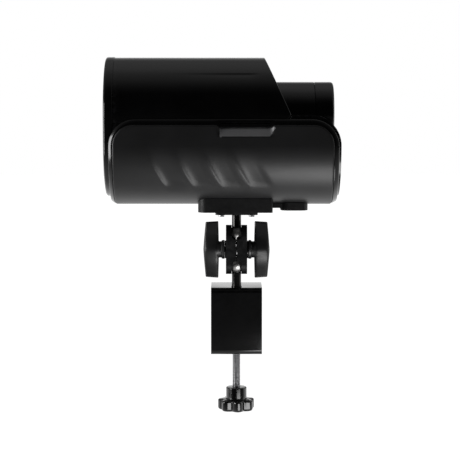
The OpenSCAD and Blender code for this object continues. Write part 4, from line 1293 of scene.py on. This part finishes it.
@dataclass
class Arm:
    """The double ball-joint arm with its wing knobs; seats are the heights where the necks end."""

    lay: Layout
    kit: FinishKit
    ball_r: float = 8.0
    neck_r: float = 4.7
    pin_away: float = 6.15
    pin_r: float = 1.25
    pin_half: float = 3.0
    neck_blend: float = 1.2
    thread_r: float = 3.4
    seats: tuple[float, float] = (15.0, 89.0)
    wing_hub_r: float = 9.6
    wing_deep: float = 15.8
    wing_foot: float = 21.3
    wing_end: float = 0.045
    wing_fall: float = 2.3
    wing_thick: float = 3.9
    wing_swell: float = 4.4
    wing_bell: float = 8.5

    def build(self) -> None:
        """Builds and places the arm's pieces."""
        for node, slot, width in (
            ("arm_shell_left", "arm_black", 0.8),
            ("arm_shell_right", "arm_black", 0.8),
            ("arm_washers", "stud_metal", 0.25),
        ):
            place(solid_copy(node, width), "arm", slot, self.kit)
        middle = sum(corner.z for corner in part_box("arm_shell_left")) / 2 / MM
        for name, away in (("upper", self.pin_away), ("lower", -self.pin_away)):
            place(self.pin("arm_pin_" + name, middle + away), "arm", "arm_black", self.kit)
        for node, body, seat, up in (
            ("lower_ball_stud", "lower_stud", self.seats[0], -1),
            ("upper_ball_stud", "upper_stud", self.seats[1], 1),
        ):
            low, high = (c.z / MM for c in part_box(node))
            ball, end = (high - self.ball_r, low) if up < 0 else (low + self.ball_r, high)
            shape = self.stud(body + "_turned", ball, end, seat, up)
            place(shape, body, "stud_metal", self.kit, node)
            core, near = Vector((0.0, self.lay.stem_y, ball)) * MM, (self.ball_r + 0.05) * MM
            self.kit.patch(shape, "stud_ball", lambda at, core=core, near=near: (at - core).length < near)
        for side in Side:
            name = side.name.lower()
            wing = self.wing("wing_" + name, *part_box("wing_knob_" + name), side)
            place(wing, "knob_" + name, "wing_black", self.kit, "wing_knob_" + name)

    def pin(self, name: str, z: float) -> bpy.types.Object:
        """Guide pin that crosses the gap between the two shells: a round bar with chamfered ends."""
        r, half = self.pin_r, self.pin_half
        profile = [(0.0, -half), (r - 0.2, -half), (r, 0.2 - half)]
        profile += [(rr, -x) for rr, x in reversed(profile)]
        return closed_sheet(name, turned(profile, (0.0, self.lay.stem_y, z), "X", 32))

    def stud(self, name: str, centre: float, end: float, seat: float, up: int) -> bpy.types.Object:
        """Ball stud: a ball, a neck that grows out of it in a hollow round, a collar and a threaded end.

        Args:
            name: Name of the piece.
            centre: Height of the ball's centre.
            end: Height of the far end.
            seat: Height where the neck ends.
            up: 1 where the neck is over the ball, -1 where it is under it.

        Returns:
            The piece.
        """
        big, r, blend, thin = self.ball_r, self.neck_r, self.neck_blend, self.thread_r
        meet = math.asin((r + blend) / (big + blend))
        hub = centre + up * (big + blend) * math.cos(meet)
        ball = [
            (big * math.sin(t), centre - up * big * math.cos(t)) for t in np.linspace(0, math.pi - meet, 40)
        ]
        hollow = [
            (r + blend - blend * math.cos(t), hub - up * blend * math.sin(t))
            for t in np.linspace(math.pi / 2 - meet, 0, 5)
        ]
        neck = [(r, seat - up * 1.6), (r + 0.5, seat - up * 1.1), (r + 0.5, seat - up * 0.1), (r - 0.6, seat)]
        tail = [(thin, seat + up * 0.2), (thin, end - up * 0.5), (thin - 0.4, end), (0.0, end)]
        grid = turned([*ball, *hollow, *neck, *tail], (0.0, self.lay.stem_y, 0.0), "Z", 72)
        return closed_sheet(name, grid)

    def wing(self, name: str, low: Vector, high: Vector, side: Side) -> bpy.types.Object:
        """Wing knob: two blades on a round hub, swelling over it, their outer edge a shallow V.

        A ring of a soft rectangle is carried along the knob's length. Its outer edge falls away from
        the middle, and its thickness is a low bell over the hub plus the blade's own.

        Args:
            name: Name of the piece.
            low: Lowest corner of the knob's box, in metres.
            high: Highest corner of it.
            side: Side of the arm.

        Returns:
            The blades; the hub is placed here.
        """
        z0, z1 = low.z / MM, high.z / MM
        mid, half = (z0 + z1) / 2, (z1 - z0) / 2
        outer_x = max(abs(low.x), abs(high.x)) / MM
        inner_x, base_x, hub_r = outer_x - self.wing_deep, outer_x - self.wing_foot, self.wing_hub_r
        t = np.concatenate([[-1.0], -np.cos(np.linspace(0.09, math.pi - 0.09, 59)), [1.0]])[:, None]
        a = np.linspace(0, 2 * math.pi, 61)[None, :]
        s = np.abs(t)
        edge = np.sqrt(1 - np.clip((s - 1 + self.wing_end) / self.wing_end, 0, 1) ** 2)
        outer = outer_x - self.wing_fall * s**1.15 - 0.7 * (1 - edge)
        inner = inner_x + 0.7 * s + 0.6 * (1 - edge)
        bell = np.exp(-((t * half) / self.wing_bell) ** 2)
        thick = (self.wing_thick - 0.5 * s) * (0.25 + 0.75 * edge) + self.wing_swell * bell
        ca, sa = np.cos(a), np.sin(a)
        px = (outer + inner) / 2 + (outer - inner) / 2 * np.sign(ca) * np.abs(ca) ** 0.34
        far = np.clip((px - inner_x) / (outer_x - inner_x), 0, 1)
        py = np.sign(sa) * np.sqrt(np.abs(sa)) * (thick - 2.6 * bell * far**2)
        pz = mid + t * half * (1 - 0.035 * far)
        blade = np.stack([side.value * px, self.lay.stem_y + py, pz], axis=-1)
        knob = closed_sheet(name, capped(blade, blade[0].mean(0), blade[-1].mean(0)), 60.0)
        rim = [(3.2, base_x), (hub_r - 0.6, base_x), (hub_r, base_x + 0.6), (hub_r - 0.3, base_x + 2.6)]
        rim += [(hub_r - 1.4, base_x + 3.4), (hub_r - 1.4, inner_x - 0.4), (hub_r - 0.9, inner_x + 2.0)]
        rim += [(3.2, inner_x + 2.0)]
        grid = turned([*rim, rim[0]], (0.0, self.lay.stem_y, mid), "X", 60)
        grid[..., 0] *= side.value
        hub = closed_sheet(name + "_hub", grid)
        place(hub, "knob_" + side.name.lower(), "wing_black", self.kit)
        return knob


# ---------- Pieces that keep their solids ----------


@dataclass
class KeptPieces:
    """Solids whose shape is right as it is: visible ones get rounded edges, inner ones a finish."""

    kit: FinishKit
    nodes: dict[str, bpy.types.Object]
    edged: dict[str, tuple[str, float]] = field(
        default_factory=lambda: {
            "adapter_plate": ("shoe_black", 0.5),
            "plate_screws": ("screw_steel", 0.3),
            "mount_shoe": ("shoe_black", 1.0),
            "release_lever": ("shoe_black", 0.9),
            "tail_cap": ("body_gloss", 0.9),
            "power_button": ("button_rubber", 0.5),
            "plus_button": ("button_rubber", 0.45),
            "minus_button": ("button_rubber", 0.45),
            "status_light": ("light_pipe", 0.3),
            "charge_socket": ("inner_plastic", 0.3),
            "rear_deck": ("inner_plastic", 0.5),
            "tail_screws": ("screw_steel", 0.2),
        }
    )

    def build(self, record: dict) -> None:
        """Dresses every solid that is still shown.

        Args:
            record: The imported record, whose subparts name each node's slot.
        """
        bodies = {n: b for b, group in record["behaviour"]["bodies"].items() for n in group}
        slots = {s["node"]: s["material_slot"] for s in record["subparts"]}
        for node, (slot, width) in self.edged.items():
            place(solid_copy(node, width), bodies[node], slot, self.kit)
        for node, obj in sorted(self.nodes.items()):
            if not obj.hide_render:
                obj.data.materials.clear()
                obj.data.materials.append(self.kit.of(slots[node]))
                log.info("%s keeps its solid, finished as %s", node, slots[node])


# ---------- Studio ----------


@dataclass(frozen=True)
class Softbox:
    """A rectangular studio light: where it stands, what it faces, its sides in metres and its power."""

    name: str
    at: tuple[float, float, float]
    to: tuple[float, float, float]
    sides: tuple[float, float]
    watts: float

    def build(self) -> None:
        """Hangs the light."""
        data = bpy.data.lights.new(self.name, "AREA")
        data.shape = "RECTANGLE"
        data.size, data.size_y = self.sides
        data.energy = self.watts
        lamp = bpy.data.objects.new(self.name, data)
        lamp.location = self.at
        lamp.rotation_euler = (Vector(self.to) - Vector(self.at)).to_track_quat("-Z", "Y").to_euler()
        bpy.context.scene.collection.objects.link(lamp)


@dataclass
class Studio:
    """Pale floor, soft lights, even surroundings and the camera."""

    lay: Layout
    pitch_deg: float = 6.0
    distance: float = 1.75
    lens: float = 137.0
    target: tuple[float, float, float] = (-0.0065, -0.021, 0.0725)
    floor_z: float = -0.32
    floor_glow: tuple[tuple[float, float], ...] = (
        (-3.0, 0.01), (-1.6, 0.02), (-0.9, 0.09), (-0.5, 0.22), (-0.25, 0.36), (-0.05, 0.44), (0.2, 1.0),
        (1.0, 1.1),
    )
    air_glow: tuple[tuple[float, float], ...] = (
        (-1.0, 0.006), (-0.7, 0.01), (-0.53, 0.05), (-0.4, 0.1), (-0.24, 0.17), (0.12, 0.26), (0.32, 0.28),
        (0.6, 0.2), (0.8, 0.15), (0.93, 0.28), (0.975, 0.8), (1.0, 1.1),
    )
    lights: tuple[Softbox, ...] = (
        Softbox("key_top", (0.05, 0.25, 0.95), (0.0, 0.0, 0.16), (0.9, 0.5), 0.04),
        Softbox("side_left", (-0.75, -0.30, 0.16), (-0.1, -0.05, 0.15), (0.3, 0.5), 4.0),
        Softbox("side_right", (0.8, 0.1, 0.2), (0.05, -0.02, 0.12), (0.25, 0.6), 0.8),
        Softbox("low_right", (0.12, -0.24, -0.14), (0.075, -0.077, 0.133), (0.2, 0.16), 0.62),
    )

    def build(self) -> None:
        """Builds the whole studio."""
        self.camera()
        self.floor()
        self.surroundings()
        for light in self.lights:
            light.build()
        log.info("studio: %d lights", len(self.lights))

    def camera(self) -> None:
        """Sets the camera: level, in front of the head, looking slightly down."""
        data = bpy.data.cameras.new("camera")
        data.lens, data.sensor_width = self.lens, 36.0
        data.clip_start, data.clip_end = 0.05, 60.0
        cam = bpy.data.objects.new("camera", data)
        tilt = math.radians(self.pitch_deg)
        away = Vector((0.0, -math.cos(tilt), math.sin(tilt))) * self.distance
        cam.location = Vector(self.target) + away
        cam.rotation_euler = (math.pi / 2 - tilt, 0.0, 0.0)
        bpy.context.scene.collection.objects.link(cam)
        bpy.context.scene.camera = cam

    def floor(self) -> None:
        """Lays a wide pale floor well under the clamp's knob; what it sends up dims towards the front."""
        half, z = 6000.0, self.floor_z / MM
        grid = np.array([[[-half, -half, z], [half, -half, z]], [[-half, half, z], [half, half, z]]])
        obj = finish_mesh("floor", grid.reshape(-1, 3), np.array([[0, 1, 3, 2]]))
        material = bpy.data.materials.new("floor_pale")
        material.use_nodes = True
        g = Graph(material.node_tree)
        shader = material.node_tree.nodes["Principled BSDF"]
        spot = g.spot()
        depth = g.add("SeparateXYZ", {0: spot}).outputs["Y"]
        g.feed(shader, {
            "Base Color": g.blend(g.noise(spot, 3.0), (0.3, 0.3, 0.3, 1.0), (0.34, 0.34, 0.34, 1.0)),
            "Emission Color": WHITE,
            "Emission Strength": g.unseen(g.curve(depth, self.floor_glow)),
            "Roughness": 0.9,
        })
        obj.data.materials.append(material)

    def surroundings(self) -> None:
        """Sets the surroundings: white behind the head, and dim in front so that its face stays dark."""
        world = bpy.data.worlds.new("studio_air")
        bpy.context.scene.world = world
        world.use_nodes = True
        g = Graph(world.node_tree)
        back = world.node_tree.nodes["Background"]
        way = g.add("SeparateXYZ", {0: g.add("TexCoord").outputs["Generated"]})
        g.feed(back, {"Strength": g.unseen(g.curve(way.outputs["Y"], self.air_glow)), "Color": WHITE})


def main() -> None:
    """Builds the object in order, then the studio."""
    logging.basicConfig(level=logging.INFO, format="%(name)s: %(message)s")
    lay = Layout.read()
    log.info("layout: %s", lay)
    kit = FinishKit()
    Clamp(lay, kit).build()
    Arm(lay, kit).build()
    HeadShells(lay, kit).build()
    Tube(lay, kit).build()
    KeptPieces(kit, frame["nodes"]).build(frame["record"])
    Studio(lay).build()
    bpy.context.scene.view_settings.view_transform = "Standard"


if __name__ == "__main__":
    main()
